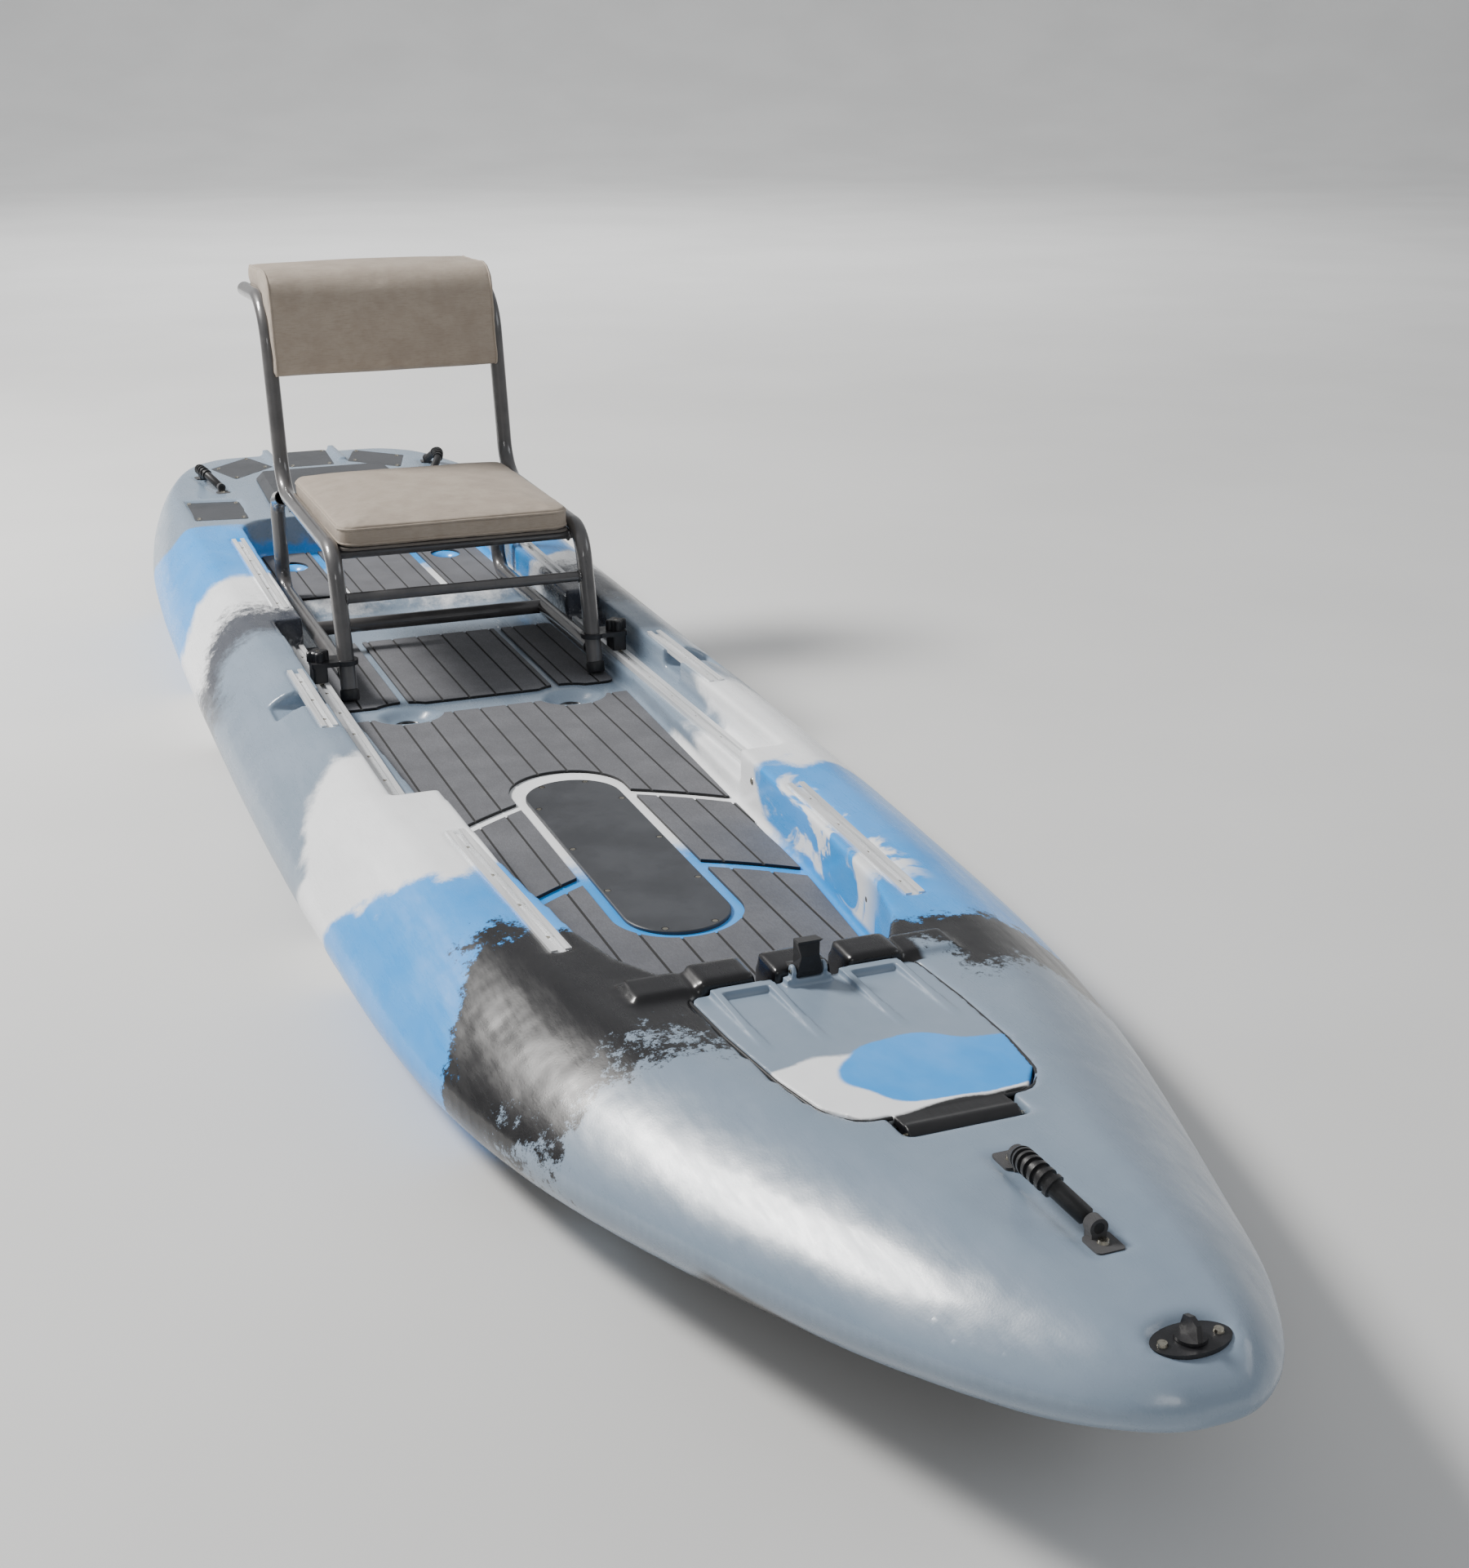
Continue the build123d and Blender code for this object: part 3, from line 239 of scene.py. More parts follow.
def banded(shader, bands, first):
    """Colours laid one after the other along the hull, with swirled and spattered edges."""
    x, _, z = shader.axes()
    swirl = shader.ramp(shader.noise(4.2, 3.0, 0.55, distortion=0.6), 0.2, 0.8, -0.085, 0.085)
    spatter = shader.math("SUBTRACT", shader.noise(55.0, 6.0, 0.85), 0.5)
    along = shader.math("ADD", x, swirl)
    drop = shader.ramp(z, BAND_TOP_Z, BAND_LOW_Z)
    colour = first
    for top, low, tint, soft, spread in bands:
        start = shader.math("MULTIPLY_ADD", drop, low - top)
        start.node.inputs[2].default_value = top
        past = shader.math("SUBTRACT", along, start)
        past = shader.math("ADD", past, shader.math("MULTIPLY", spatter, 4 * spread))
        colour = shader.mix(shader.ramp(past, -soft, soft), colour, tint)
    return colour


def moulded_finish(shader, colour, shine=0.24):
    """Cloudy colour, fine grain and faint rubs of rotationally moulded polyethylene."""
    cloud = shader.ramp(shader.noise(5.0, 4.0, 0.6, at=shader.stretched((1.0, 1.6, 2.5))), 0.3, 0.7)
    lighter = shader.add("ShaderNodeHueSaturation", {"Color": colour, "Value": 1.10, "Saturation": 0.92})
    colour = shader.mix(cloud, colour, lighter)
    rubs = shader.noise(9.0, 8.0, 0.75, at=shader.stretched((0.7, 5.0, 5.0)))
    roughness = shader.ramp(rubs, 0.35, 0.75, shine, shine + 0.16)
    grain = shader.bump(shader.noise(420.0, 2.0), 0.10, 0.0006)
    waves = shader.bump(shader.noise(13.0, 2.0), 0.22, 0.010, grain)
    return shader.finish(colour, roughness, waves)


def hull_plastic():
    shader = Shader("hull_plastic", IOR=1.5, Coat_Weight=0.22, Coat_Roughness=0.12)
    x, y, z = shader.axes()
    starboard = banded(shader, BANDS["starboard"], GREY)
    port = banded(shader, BANDS["port"], GREY)
    floor = banded(shader, BANDS["floor"], BLUE)
    colour = shader.mix(shader.ramp(y, -0.002, 0.002), starboard, port)
    # White streaks drawn through the blue on the inner wall at port.
    inner = shader.math("MULTIPLY", shader.ramp(y, 0.15, 0.19), shader.ramp(y, 0.275, 0.250))
    inner = shader.math("MULTIPLY", inner, shader.ramp(x, 0.48, 0.60))
    inner = shader.math("MULTIPLY", inner, shader.ramp(x, 1.00, 0.90))
    swirls = shader.noise(7.0, 4.0, 0.6, at=shader.stretched((1, 1, 1.8)), distortion=1.2)
    streaks = shader.ramp(swirls, 0.47, 0.55)
    colour = shader.mix(shader.math("MULTIPLY", inner, streaks), colour, WHITE)
    wide = shader.math("ABSOLUTE", y)
    low = shader.math("MULTIPLY", shader.ramp(z, 0.118, 0.108), shader.ramp(wide, 0.262, 0.250))
    well = shader.math("MULTIPLY", shader.ramp(z, 0.150, 0.138), shader.ramp(x, -0.70, -0.76))
    well = shader.math("MULTIPLY", well, shader.ramp(wide, 0.262, 0.250))
    colour = shader.mix(shader.math("MAXIMUM", low, well), colour, floor)
    # The three blocks behind the bow hatch are black.
    blocks = shader.math("MULTIPLY", shader.ramp(x, 1.116, 1.119), shader.ramp(x, 1.193, 1.190))
    blocks = shader.math("MULTIPLY", blocks, shader.ramp(wide, 0.150, 0.140))
    colour = shader.mix(blocks, colour, BLACK)
    # Painted shade inside the scupper tubes, from just below the floor downwards.
    for bore_x, bore_y, top, *_ in DISHES:
        here = shader.add("ShaderNodeCombineXYZ", {0: x, 1: wide})
        away = shader.add(
            "ShaderNodeVectorMath", {0: here, 1: (bore_x, bore_y, 0)}, out="Value", operation="DISTANCE",
        )
        shade_depth = shader.ramp(z, top - 0.004, top - 0.016)
        bore_shade = shader.math("MULTIPLY", shader.ramp(away, *BORE_SHADE_FADE), shade_depth)
        colour = shader.mix(bore_shade, colour, BORE_SHADE_TONE)
    return moulded_finish(shader, colour)


def lid_plastic():
    shader = Shader("lid_plastic", IOR=1.51, Coat_Weight=0.2, Coat_Roughness=0.2)
    x, y, _ = shader.axes()
    warp = shader.ramp(shader.noise(9.0, 1.0), 0.2, 0.8, -0.020, 0.020)
    spatter = shader.math("SUBTRACT", shader.noise(170.0, 5.0, 0.7), 0.5)
    x = shader.math("ADD", x, warp)
    x = shader.math("ADD", x, shader.math("MULTIPLY", spatter, 0.005))
    skewed = shader.math("SUBTRACT", x, shader.math("MULTIPLY", y, 0.10))
    colour = shader.mix(shader.ramp(skewed, 1.400, 1.408), GREY, WHITE)
    away_x = shader.math("DIVIDE", shader.math("SUBTRACT", x, 1.448), 0.066)
    away_y = shader.math("DIVIDE", shader.math("SUBTRACT", y, 0.045), 0.112)
    away = shader.math("ADD", shader.math("POWER", away_x, 2.0), shader.math("POWER", away_y, 2.0))
    colour = shader.mix(shader.ramp(away, 1.12, 0.98), colour, BLUE)
    colour = shader.mix(shader.ramp(x, 1.516, 1.524), colour, BLACK)
    return moulded_finish(shader, colour, 0.36)


def foam_pad(name, top):
    """Closed-cell foam: a lighter brushed top skin, and darker cut edges and grooves."""
    shader = Shader(name, Specular_IOR_Level=0.35, Sheen_Weight=0.12, Sheen_Roughness=0.6)
    z = shader.axes()[2]
    upper = shader.ramp(z, top - 0.0010, top - 0.0004)
    cloud = shader.ramp(shader.noise(14.0, 4.0, 0.6), 0.3, 0.7)
    skin = shader.mix(cloud, paint(84, 85, 90), paint(98, 99, 104))
    fibres = shader.noise(900.0, 2.0, 0.5, at=shader.stretched((0.25, 1.0, 1.0)))
    skin = shader.mix(shader.ramp(fibres, 0.35, 0.65, 0.0, 0.35), skin, paint(64, 65, 69))
    colour = shader.mix(upper, paint(14, 14, 16), skin)
    cells = shader.bump(shader.noise(1400.0, 2.0), 0.35, 0.0005)
    return shader.finish(colour, shader.ramp(fibres, 0.2, 0.8, 0.62, 0.86), cells)


def dark_plate(name, tone, shine):
    shader = Shader(name, Specular_IOR_Level=0.45)
    cloud = shader.ramp(shader.noise(11.0, 5.0, 0.65), 0.3, 0.7)
    colour = shader.mix(cloud, paint(*tone), paint(*(value + 13 for value in tone)))
    dust = shader.ramp(shader.noise(240.0, 4.0, 0.7), 0.60, 0.78, 0.0, 0.35)
    colour = shader.mix(dust, colour, paint(*(value + 40 for value in tone)))
    grain = shader.bump(shader.noise(1100.0, 3.0), 0.35, 0.0004)
    return shader.finish(colour, shader.ramp(cloud, 0, 1, shine, shine + 0.12), grain)


def coated_tube():
    shader = Shader("frame_coat", Coat_Weight=0.9, Coat_Roughness=0.06, IOR=1.5)
    cloud = shader.ramp(shader.noise(18.0, 5.0, 0.6), 0.3, 0.7)
    colour = shader.mix(cloud, paint(70, 69, 70), paint(84, 82, 82))
    chips = shader.ramp(shader.noise(70.0, 7.0, 0.8), 0.70, 0.74, 0.0, 0.6)
    colour = shader.mix(chips, colour, paint(118, 116, 114))
    peel = shader.bump(shader.noise(500.0, 2.0), 0.16, 0.0005)
    return shader.finish(colour, shader.ramp(cloud, 0, 1, 0.30, 0.42), peel)


def anodised_track():
    shader = Shader("track_aluminium", Anisotropic=0.4)
    streaks = shader.noise(220.0, 4.0, 0.6, at=shader.stretched((0.02, 1.0, 1.0)))
    colour = shader.mix(shader.ramp(streaks, 0.3, 0.7), paint(224, 226, 228), paint(248, 249, 250))
    grime = shader.ramp(shader.noise(30.0, 6.0, 0.7), 0.58, 0.80, 0.0, 0.35)
    colour = shader.mix(grime, colour, paint(168, 168, 166))
    lines = shader.bump(streaks, 0.20, 0.0003)
    return shader.finish(colour, shader.ramp(streaks, 0.2, 0.8, 0.30, 0.48), lines, 0.45)


def bright_steel(name="steel_screw", tone=(196, 190, 176)):
    shader = Shader(name)
    spots = shader.ramp(shader.noise(320.0, 5.0, 0.7), 0.40, 0.70)
    colour = shader.mix(spots, paint(*tone), paint(*(value - 46 for value in tone)))
    scratches = shader.bump(shader.noise(1500.0, 2.0), 0.2, 0.0002)
    return shader.finish(colour, shader.ramp(spots, 0, 1, 0.18, 0.40), scratches, 1.0)


def black_rubber():
    shader = Shader("black_rubber", Specular_IOR_Level=0.4, Sheen_Weight=0.08)
    dust = shader.ramp(shader.noise(60.0, 6.0, 0.7), 0.45, 0.80, 0.0, 0.5)
    colour = shader.mix(dust, paint(26, 26, 28), paint(56, 56, 58))
    grain = shader.bump(shader.noise(900.0, 3.0), 0.4, 0.0004)
    return shader.finish(colour, shader.ramp(dust, 0, 0.5, 0.46, 0.66), grain)


def black_plastic():
    shader = Shader("black_plastic", Specular_IOR_Level=0.5)
    cloud = shader.ramp(shader.noise(40.0, 5.0, 0.6), 0.3, 0.7)
    colour = shader.mix(cloud, paint(24, 24, 26), paint(38, 38, 41))
    grain = shader.bump(shader.noise(700.0, 2.0), 0.25, 0.0004)
    return shader.finish(colour, shader.ramp(cloud, 0, 1, 0.30, 0.44), grain)


def woven(name, dark, light, thread, strength, sheen):
    """Plain weave of two crossed threads, laid over all three pairs of axes."""
    shader = Shader(name, Sheen_Weight=sheen, Sheen_Roughness=0.5, Specular_IOR_Level=0.35)
    turns = 2 * math.pi / thread
    x, y, z = shader.axes()
    rise = shader.math("ADD", x, z)
    over = shader.math("SINE", shader.math("MULTIPLY", y, turns))
    under = shader.math("SINE", shader.math("MULTIPLY", rise, turns))
    weave = shader.math("MULTIPLY", over, under)
    mottle = shader.ramp(shader.noise(26.0, 5.0, 0.65), 0.3, 0.7)
    slub = shader.noise(520.0, 2.0, 0.5, at=shader.stretched((1.0, 0.12, 1.0)))
    colour = shader.mix(mottle, paint(*dark), paint(*light))
    colour = shader.mix(shader.ramp(slub, 0.45, 0.75, 0.0, 0.30), colour, paint(*(v - 26 for v in dark)))
    # Painted shade in the hollows of the weave, where the threads dip under.
    colour = shader.mix(shader.ramp(weave, -1.0, 0.2, 0.25, 0.0), colour, paint(*(v - 60 for v in dark)))
    cloth = shader.bump(weave, strength, 0.0004)
    cloth = shader.bump(slub, 0.25, 0.0004, cloth)
    return shader.finish(colour, shader.ramp(mottle, 0, 1, 0.60, 0.74), cloth)


def studio_floor():
    shader = Shader("studio_floor")
    cloud = shader.ramp(shader.noise(1.1, 4.0), 0.3, 0.7)
    colour = shader.mix(cloud, paint(214, 214, 213), paint(220, 220, 219))
    return shader.finish(colour, 0.9)


FINISH = {
    "hull_plastic": hull_plastic(),
    "plate_plastic": dark_plate("plate_plastic", (54, 56, 60), 0.42),
    "steel_screw": bright_steel(),
    "track_aluminium": anodised_track(),
    "black_rubber": black_rubber(),
    "webbing": woven("webbing", (66, 66, 68), (74, 74, 76), 0.0016, 0.7, 0.1),
    "black_plastic": black_plastic(),
    "frame_coat": coated_tube(),
    "seat_fabric": woven("seat_fabric", (158, 145, 131), (170, 158, 144), 0.0013, 0.35, 0.15),
    "lid_plastic": lid_plastic(),
    "base_cloth": woven("base_cloth", (104, 98, 92), (116, 110, 104), 0.0020, 0.5, 0.1),
}


# ---------------------------------------------------------------- mesh helpers
def new_piece(name, mesh, material, body, replaced=()):
    piece = bpy.data.objects.new(name, mesh)
    scene.collection.objects.link(piece)
    mesh.materials.clear()
    mesh.materials.append(material)
    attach(piece, body)
    if replaced:
        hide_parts(*replaced)
    return piece


def coordinates(mesh):
    flat = np.empty(len(mesh.vertices) * 3)
    mesh.vertices.foreach_get("co", flat)
    return flat.reshape(-1, 3)


def set_coordinates(mesh, points):
    mesh.vertices.foreach_set("co", np.ascontiguousarray(points, dtype=np.float32).ravel())
    mesh.update()


def shade(mesh, smooth=True):
    mesh.polygons.foreach_set("use_smooth", [smooth] * len(mesh.polygons))
    mesh.update()


def applied(mesh, *modifiers):
    """The mesh after a list of modifiers, each given as its kind and its settings."""
    holder = bpy.data.objects.new("holder", mesh)
    scene.collection.objects.link(holder)
    for kind, settings in modifiers:
        modifier = holder.modifiers.new(kind.lower(), kind)
        for key, value in settings.items():
            setattr(modifier, key, value)
    made = bpy.data.meshes.new_from_object(holder.evaluated_get(bpy.context.evaluated_depsgraph_get()))
    bpy.data.objects.remove(holder)
    return made


def cad_mesh(*nodes):
    """One welded mesh copied from the given CAD nodes."""
    joined = bmesh.new()
    for node in nodes:
        joined.from_mesh(frame["nodes"][node].data)
    bmesh.ops.remove_doubles(joined, verts=joined.verts, dist=1e-5)
    mesh = bpy.data.meshes.new(nodes[0] + "_copy")
    joined.to_mesh(mesh)
    joined.free()
    return mesh


def add_block(target, low, high):
    """A closed box added to a bmesh, from its low corner to its high corner."""
    size = Vector(high) - Vector(low)
    middle = (Vector(high) + Vector(low)) / 2
    place = Matrix.Translation(middle) @ Matrix.Diagonal((*size, 1))
    bmesh.ops.create_cube(target, size=1.0, matrix=place)


def tube_mesh(name, points, radius, closed=False, sides=10):
    """Round tube along a list of points."""
    points = [Vector(point) for point in points]
    count = len(points)
    built = bmesh.new()
    rings = []
    side = None
    for index, point in enumerate(points):
        before = points[index - 1] if index or closed else point
        after = points[(index + 1) % count] if index < count - 1 or closed else point
        along = (after - before).normalized()
        if side is None:
            side = along.orthogonal().normalized()
        side = (side - along * side.dot(along)).normalized()
        across = along.cross(side)
        ring = []
        for step in range(sides):
            angle = 2 * math.pi * step / sides
            ring.append(built.verts.new(point + radius * (math.cos(angle) * side + math.sin(angle) * across)))
        rings.append(ring)
    for index in range(count if closed else count - 1):
        here, there = rings[index], rings[(index + 1) % count]
        shift = 0
        if closed and index == count - 1:
            shift = min(range(sides), key=lambda s: (here[0].co - there[s].co).length)
        for step in range(sides):
            ahead = (step + 1) % sides
            built.faces.new((
                here[step], here[ahead], there[(ahead + shift) % sides], there[(step + shift) % sides],
            ))
    if not closed:
        built.faces.new(list(reversed(rings[0])))
        built.faces.new(rings[-1])
    bmesh.ops.recalc_face_normals(built, faces=built.faces)
    mesh = bpy.data.meshes.new(name)
    built.to_mesh(mesh)
    built.free()
    shade(mesh)
    return mesh


def joined(name, meshes):
    built = bmesh.new()
    for mesh in meshes:
        built.from_mesh(mesh)
    whole = bpy.data.meshes.new(name)
    built.to_mesh(whole)
    built.free()
    return whole


def lathe(name, profile, at, axis, sides=24, open_top=False):
    """Turned shape from (radius, height) pairs along an axis through a point; the far end can stay open."""
    axis = Vector(axis).normalized()
    side = axis.orthogonal().normalized()
    across = axis.cross(side)
    built = bmesh.new()
    rings = []
    for radius, height in profile:
        ring = []
        for step in range(sides):
            angle = 2 * math.pi * step / sides
            out = radius * (math.cos(angle) * side + math.sin(angle) * across)
            ring.append(built.verts.new(Vector(at) + out + height * axis))
        rings.append(ring)
    for here, there in zip(rings, rings[1:]):
        for step in range(sides):
            ahead = (step + 1) % sides
            built.faces.new((here[step], here[ahead], there[ahead], there[step]))
    built.faces.new(list(reversed(rings[0])))
    if not open_top:
        built.faces.new(rings[-1])
    bmesh.ops.recalc_face_normals(built, faces=built.faces)
    mesh = bpy.data.meshes.new(name)
    built.to_mesh(mesh)
    built.free()
    shade(mesh)
    return mesh


# ---------------------------------------------------------------- hull skin
HULL_NODES = (
    "hull_bottom", "stern_deck", "cockpit_floor", "gunwale_port", "gunwale_starboard", "hatch_surround",
    "bow_deck",
)
HULL_VOXEL = 0.0045
HULL_FACES = 195000
DECK_HOLE_AT = (-1.440, 0.0, 0.206)
DRAIN_HOLE_AT = (1.938, 0.0, 0.2165)
BLOCK_EDGES = ((-0.118, -0.0545), (-0.0335, 0.0335), (0.0545, 0.118))


def hull_skin():
    """The moulding's outer skin as one piece, with softly rounded edges and its small raised forms."""
    built = bmesh.new()
    built.from_mesh(cad_mesh(*HULL_NODES))
    for place, radius in ((DECK_HOLE_AT, 0.062), (DRAIN_HOLE_AT, 0.014)):
        bmesh.ops.create_cone(
            built, cap_ends=True, segments=48, radius1=radius, radius2=radius, depth=0.006,
            matrix=Matrix.Translation(place),
        )
    for low_y, high_y in BLOCK_EDGES:
        add_block(built, (1.131, low_y, 0.175), (1.186, high_y, 0.206))
    for side in SIDES.values():
        low_y, high_y = sorted((side * 0.128, side * 0.19))
        add_block(built, (1.131, low_y, 0.16), (1.180, high_y, 0.199))
        add_block(built, (-1.962, side * 0.078 - 0.008, 0.185), (-1.800, side * 0.078 + 0.008, 0.221))
    mesh = bpy.data.meshes.new("hull_skin")
    built.to_mesh(mesh)
    built.free()
    mesh = applied(mesh, ("REMESH", {"mode": "VOXEL", "voxel_size": HULL_VOXEL}))
    mesh = largest_part(mesh)
    mesh = applied(mesh, ("SMOOTH", {"factor": 0.5, "iterations": 7}))
    points = coordinates(mesh)
    for x, y, top, reach_x, reach_y, depth in DISHES:
        for side in SIDES.values():
            away = np.hypot((points[:, 0] - x) / reach_x, (points[:, 1] - side * y) / reach_y)
            fall = np.clip((1 - away) / 0.55, 0, 1)
            fall = fall * fall * (3 - 2 * fall)
            near = np.clip((points[:, 2] - (top - 0.035)) / 0.025, 0, 1) * (points[:, 2] < top + 0.004)
            points[:, 2] -= depth * fall * near
    set_coordinates(mesh, points)
    ratio = min(1.0, HULL_FACES / (2 * len(mesh.polygons)))
    mesh = applied(mesh, (
        "DECIMATE", {"decimate_type": "COLLAPSE", "ratio": ratio, "use_collapse_triangulate": True},
    ))
    mesh.name = "hull_skin"
    shade(mesh)
    return mesh


def largest_part(mesh):
    """Only the connected part of a mesh that spreads furthest."""
    built = bmesh.new()
    built.from_mesh(mesh)
    unseen = set(built.verts)
    groups = []
    while unseen:
        start = unseen.pop()
        group, frontier = [start], [start]
        while frontier:
            vertex = frontier.pop()
            for edge in vertex.link_edges:
                other = edge.other_vert(vertex)
                if other in unseen:
                    unseen.remove(other)
                    group.append(other)
                    frontier.append(other)
        groups.append(group)

    def spread(group):
        along = [vertex.co.x for vertex in group]
        return max(along) - min(along) + len(group) * 1e-9

    kept = set(max(groups, key=spread))
    bmesh.ops.delete(built, geom=[v for v in built.verts if v not in kept], context="VERTS")
    result = bpy.data.meshes.new("part")
    built.to_mesh(result)
    built.free()
    return result


new_piece("hull_skin", hull_skin(), FINISH["hull_plastic"], "hull", HULL_NODES)


# ---------------------------------------------------------------- bow hatch lid
def lid_moulding():
    """The lid with the soft edges and run-out fins of a moulding."""
    mesh = applied(cad_mesh("hatch_lid"), ("REMESH", {"mode": "VOXEL", "voxel_size": 0.0018}))
    mesh = applied(mesh, ("SMOOTH", {"factor": 0.5, "iterations": 3}))
    mesh = applied(mesh, ("DECIMATE", {"decimate_type": "COLLAPSE", "ratio": 0.40}))
    shade(mesh)
    return mesh


new_piece(
    "hatch_lid_moulding", lid_moulding(), FINISH["lid_plastic"], "hatch_lid", ["hatch_lid"],
)

# Middle of the lid's aft edge, how far it rises over its length, and half its outline in its plane.
LID_AFT = Vector((1.188, 0.0, 0.191))
LID_TILT = math.atan2(0.0245, 0.3440)
LID_EDGE = (
    (0.002, 0.1335), (0.110, 0.1325), (0.230, 0.1255), (0.298, 0.1160), (0.322, 0.1085), (0.338, 0.0950),
    (0.3462, 0.0800), (0.3462, 0.0),
)
LIP_DEPTH, LIP_R = 0.0035, 0.0022


def lid_point(along, across, above):
    run, rise = math.cos(LID_TILT), math.sin(LID_TILT)
    return LID_AFT + Vector((along * run - above * rise, across, along * rise + above * run))


def shadow_gap_lip():
    """Black lip round the lid: the lid's black lower edge, and painted shadow in the gap between lid and
    hull.
    """
    half = [lid_point(along, across, -LIP_DEPTH) for along, across in LID_EDGE]
    other = [Vector((point.x, -point.y, point.z)) for point in reversed(half[:-1])]
    return tube_mesh("hatch_lid_shade_lip", half + other, LIP_R, sides=8)


def latch_lever():
    """The latch, waisted at its pin and flared at its tip."""
    mesh = applied(cad_mesh("hatch_latch"), ("BEVEL", {"width": 0.0012, "segments": 2}))
    points = coordinates(mesh)
    low, high = points[:, 2].min(), points[:, 2].max()
    root = low + 0.3 * (high - low)
    height = np.clip((points[:, 2] - root) / (high - root), 0, 1)
    points[:, 1] *= 1 - 0.30 * np.sin(height * math.pi)
    points[:, 2] -= 0.006 * height
    set_coordinates(mesh, points)
    shade(mesh, False)
    return mesh


# A black strip: partly the lid's black lower edge, partly painted shadow in the gap round the lid.
new_piece("hatch_lid_shade_lip", shadow_gap_lip(), FINISH["black_rubber"], "hatch_lid")
new_piece(
    "hatch_latch_lever", latch_lever(), FINISH["black_rubber"],
    "hatch_latch", ["hatch_latch"],
)


# ---------------------------------------------------------------- traction pads
GROOVE_PITCH = 0.046
GROOVE_WIDTH = 0.0036
GROOVE_DEPTH = 0.0022
PAD_NODES = (
    "pad_front", "pads_mid", "pad_bow", "pad_seat_centre", "pads_seat_sides", "pad_rear_centre",
    "pads_rear_sides",
)


def planked_pad(node):
    """A pad cut by long grooves: a low dark slab with bevelled planks standing on it."""
    source = cad_mesh(node)
    top = float(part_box(node)[1][2])
    half = max(abs(float(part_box(node)[0][1])), float(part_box(node)[1][1]))
    slab = source.copy()
    points = coordinates(slab)
    points[points[:, 2] > top - 0.0005, 2] = top - GROOVE_DEPTH
    set_coordinates(slab, points)
    built = bmesh.new()
    built.from_mesh(source)
    bmesh.ops.delete(built, geom=[f for f in built.faces if f.normal.z < 0.9], context="FACES")
    count = int(half / GROOVE_PITCH) + 1
    grooves = [GROOVE_PITCH * (index + 0.5) for index in range(-count - 1, count + 1)]
    for groove in grooves:
        for edge in (groove - GROOVE_WIDTH / 2, groove + GROOVE_WIDTH / 2):
            bmesh.ops.bisect_plane(
                built, geom=built.verts[:] + built.edges[:] + built.faces[:], dist=1e-6,
                plane_co=(0, edge, 0), plane_no=(0, 1, 0),
            )
    between = [
        f for f in built.faces
        if any(abs(f.calc_center_median().y - groove) < GROOVE_WIDTH / 2 for groove in grooves)
    ]
    bmesh.ops.delete(built, geom=between, context="FACES")
    bmesh.ops.dissolve_limit(built, angle_limit=0.02, verts=built.verts, edges=built.edges)
    raised = bmesh.ops.extrude_face_region(built, geom=built.faces[:], use_keep_orig=True)
    for item in raised["geom"]:
        if isinstance(item, bmesh.types.BMVert):
            item.co.z = top
    lower = set(built.verts) - {v for v in raised["geom"] if isinstance(v, bmesh.types.BMVert)}
    for vertex in lower:
        vertex.co.z = top - GROOVE_DEPTH - 0.0002
    bmesh.ops.recalc_face_normals(built, faces=built.faces)
    planks = bpy.data.meshes.new(node + "_planks")
    built.to_mesh(planks)
    built.free()
    planks = applied(planks, (
        "BEVEL", {"width": 0.0008, "segments": 2, "limit_method": "ANGLE", "angle_limit": 0.7},
    ))
    mesh = joined(node + "_foam", [slab, planks])
    shade(mesh, False)
    return mesh


for node in PAD_NODES:
    top = float(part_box(node)[1][2])
    key = "deck_pad_" + str(round(top * 1000))
    if key not in FINISH:
        FINISH[key] = foam_pad(key, top)
    pad = new_piece(node + "_foam", planked_pad(node), FINISH[key], "hull", [node])


# ---------------------------------------------------------------- seat cushions
def inflate(mesh, cap, pressure, pinned):
    """Cloth simulation under pressure; pinned vertices stay, and no point moves further than cap."""
    piece = bpy.data.objects.new("inflating", mesh)
    scene.collection.objects.link(piece)
    rest = coordinates(mesh)
    group = piece.vertex_groups.new(name="pinned")
    group.add([int(index) for index in np.nonzero(pinned(rest))[0]], 1.0, "REPLACE")
    cloth = piece.modifiers.new("cloth", "CLOTH")
    settings = cloth.settings
    settings.quality = 6
    settings.mass = 0.25
    settings.tension_stiffness = 18
    settings.compression_stiffness = 18
    settings.shear_stiffness = 8
    settings.bending_stiffness = 0.6
    settings.use_pressure = True
    settings.uniform_pressure_force = pressure
    settings.effector_weights.gravity = 0.0
    settings.vertex_group_mass = "pinned"
    cloth.point_cache.frame_start = 1
    cloth.point_cache.frame_end = 20
    for step in range(1, 21):
        scene.frame_set(step)
    posed = piece.evaluated_get(bpy.context.evaluated_depsgraph_get()).to_mesh()
    moved = coordinates(posed) - rest
    length = np.linalg.norm(moved, axis=1)
    moved *= np.minimum(1.0, cap / np.maximum(length, 1e-9))[:, None]
    piece.modifiers.clear()
    bpy.data.objects.remove(piece)
    scene.frame_set(1)
    set_coordinates(mesh, rest + moved)
    return mesh


def wrinkled(mesh, amount):
    """Shallow creases pushed in and out along the normals, as amount(point) says."""
    points = coordinates(mesh)
    normals = np.empty(len(mesh.vertices) * 3)
    mesh.vertices.foreach_get("normal", normals)
    normals = normals.reshape(-1, 3)
    depth = np.array([amount(Vector(point)) for point in points])
    set_coordinates(mesh, points + normals * depth[:, None])
    return mesh


def outline_points(mesh, height, centre, count=160):
    """Points round a cushion at one height, where level rays towards its middle meet it."""
    tree = BVHTree.FromPolygons([v.co for v in mesh.vertices], [p.vertices for p in mesh.polygons])
    found = []
    for index in range(count):
        angle = 2 * math.pi * index / count
        outward = Vector((math.cos(angle), math.sin(angle), 0))
        start = Vector((centre.x, centre.y, height)) + outward * 0.8
        hit = tree.ray_cast(start, -outward)[0]
        if hit:
            found.append(hit)
    return found


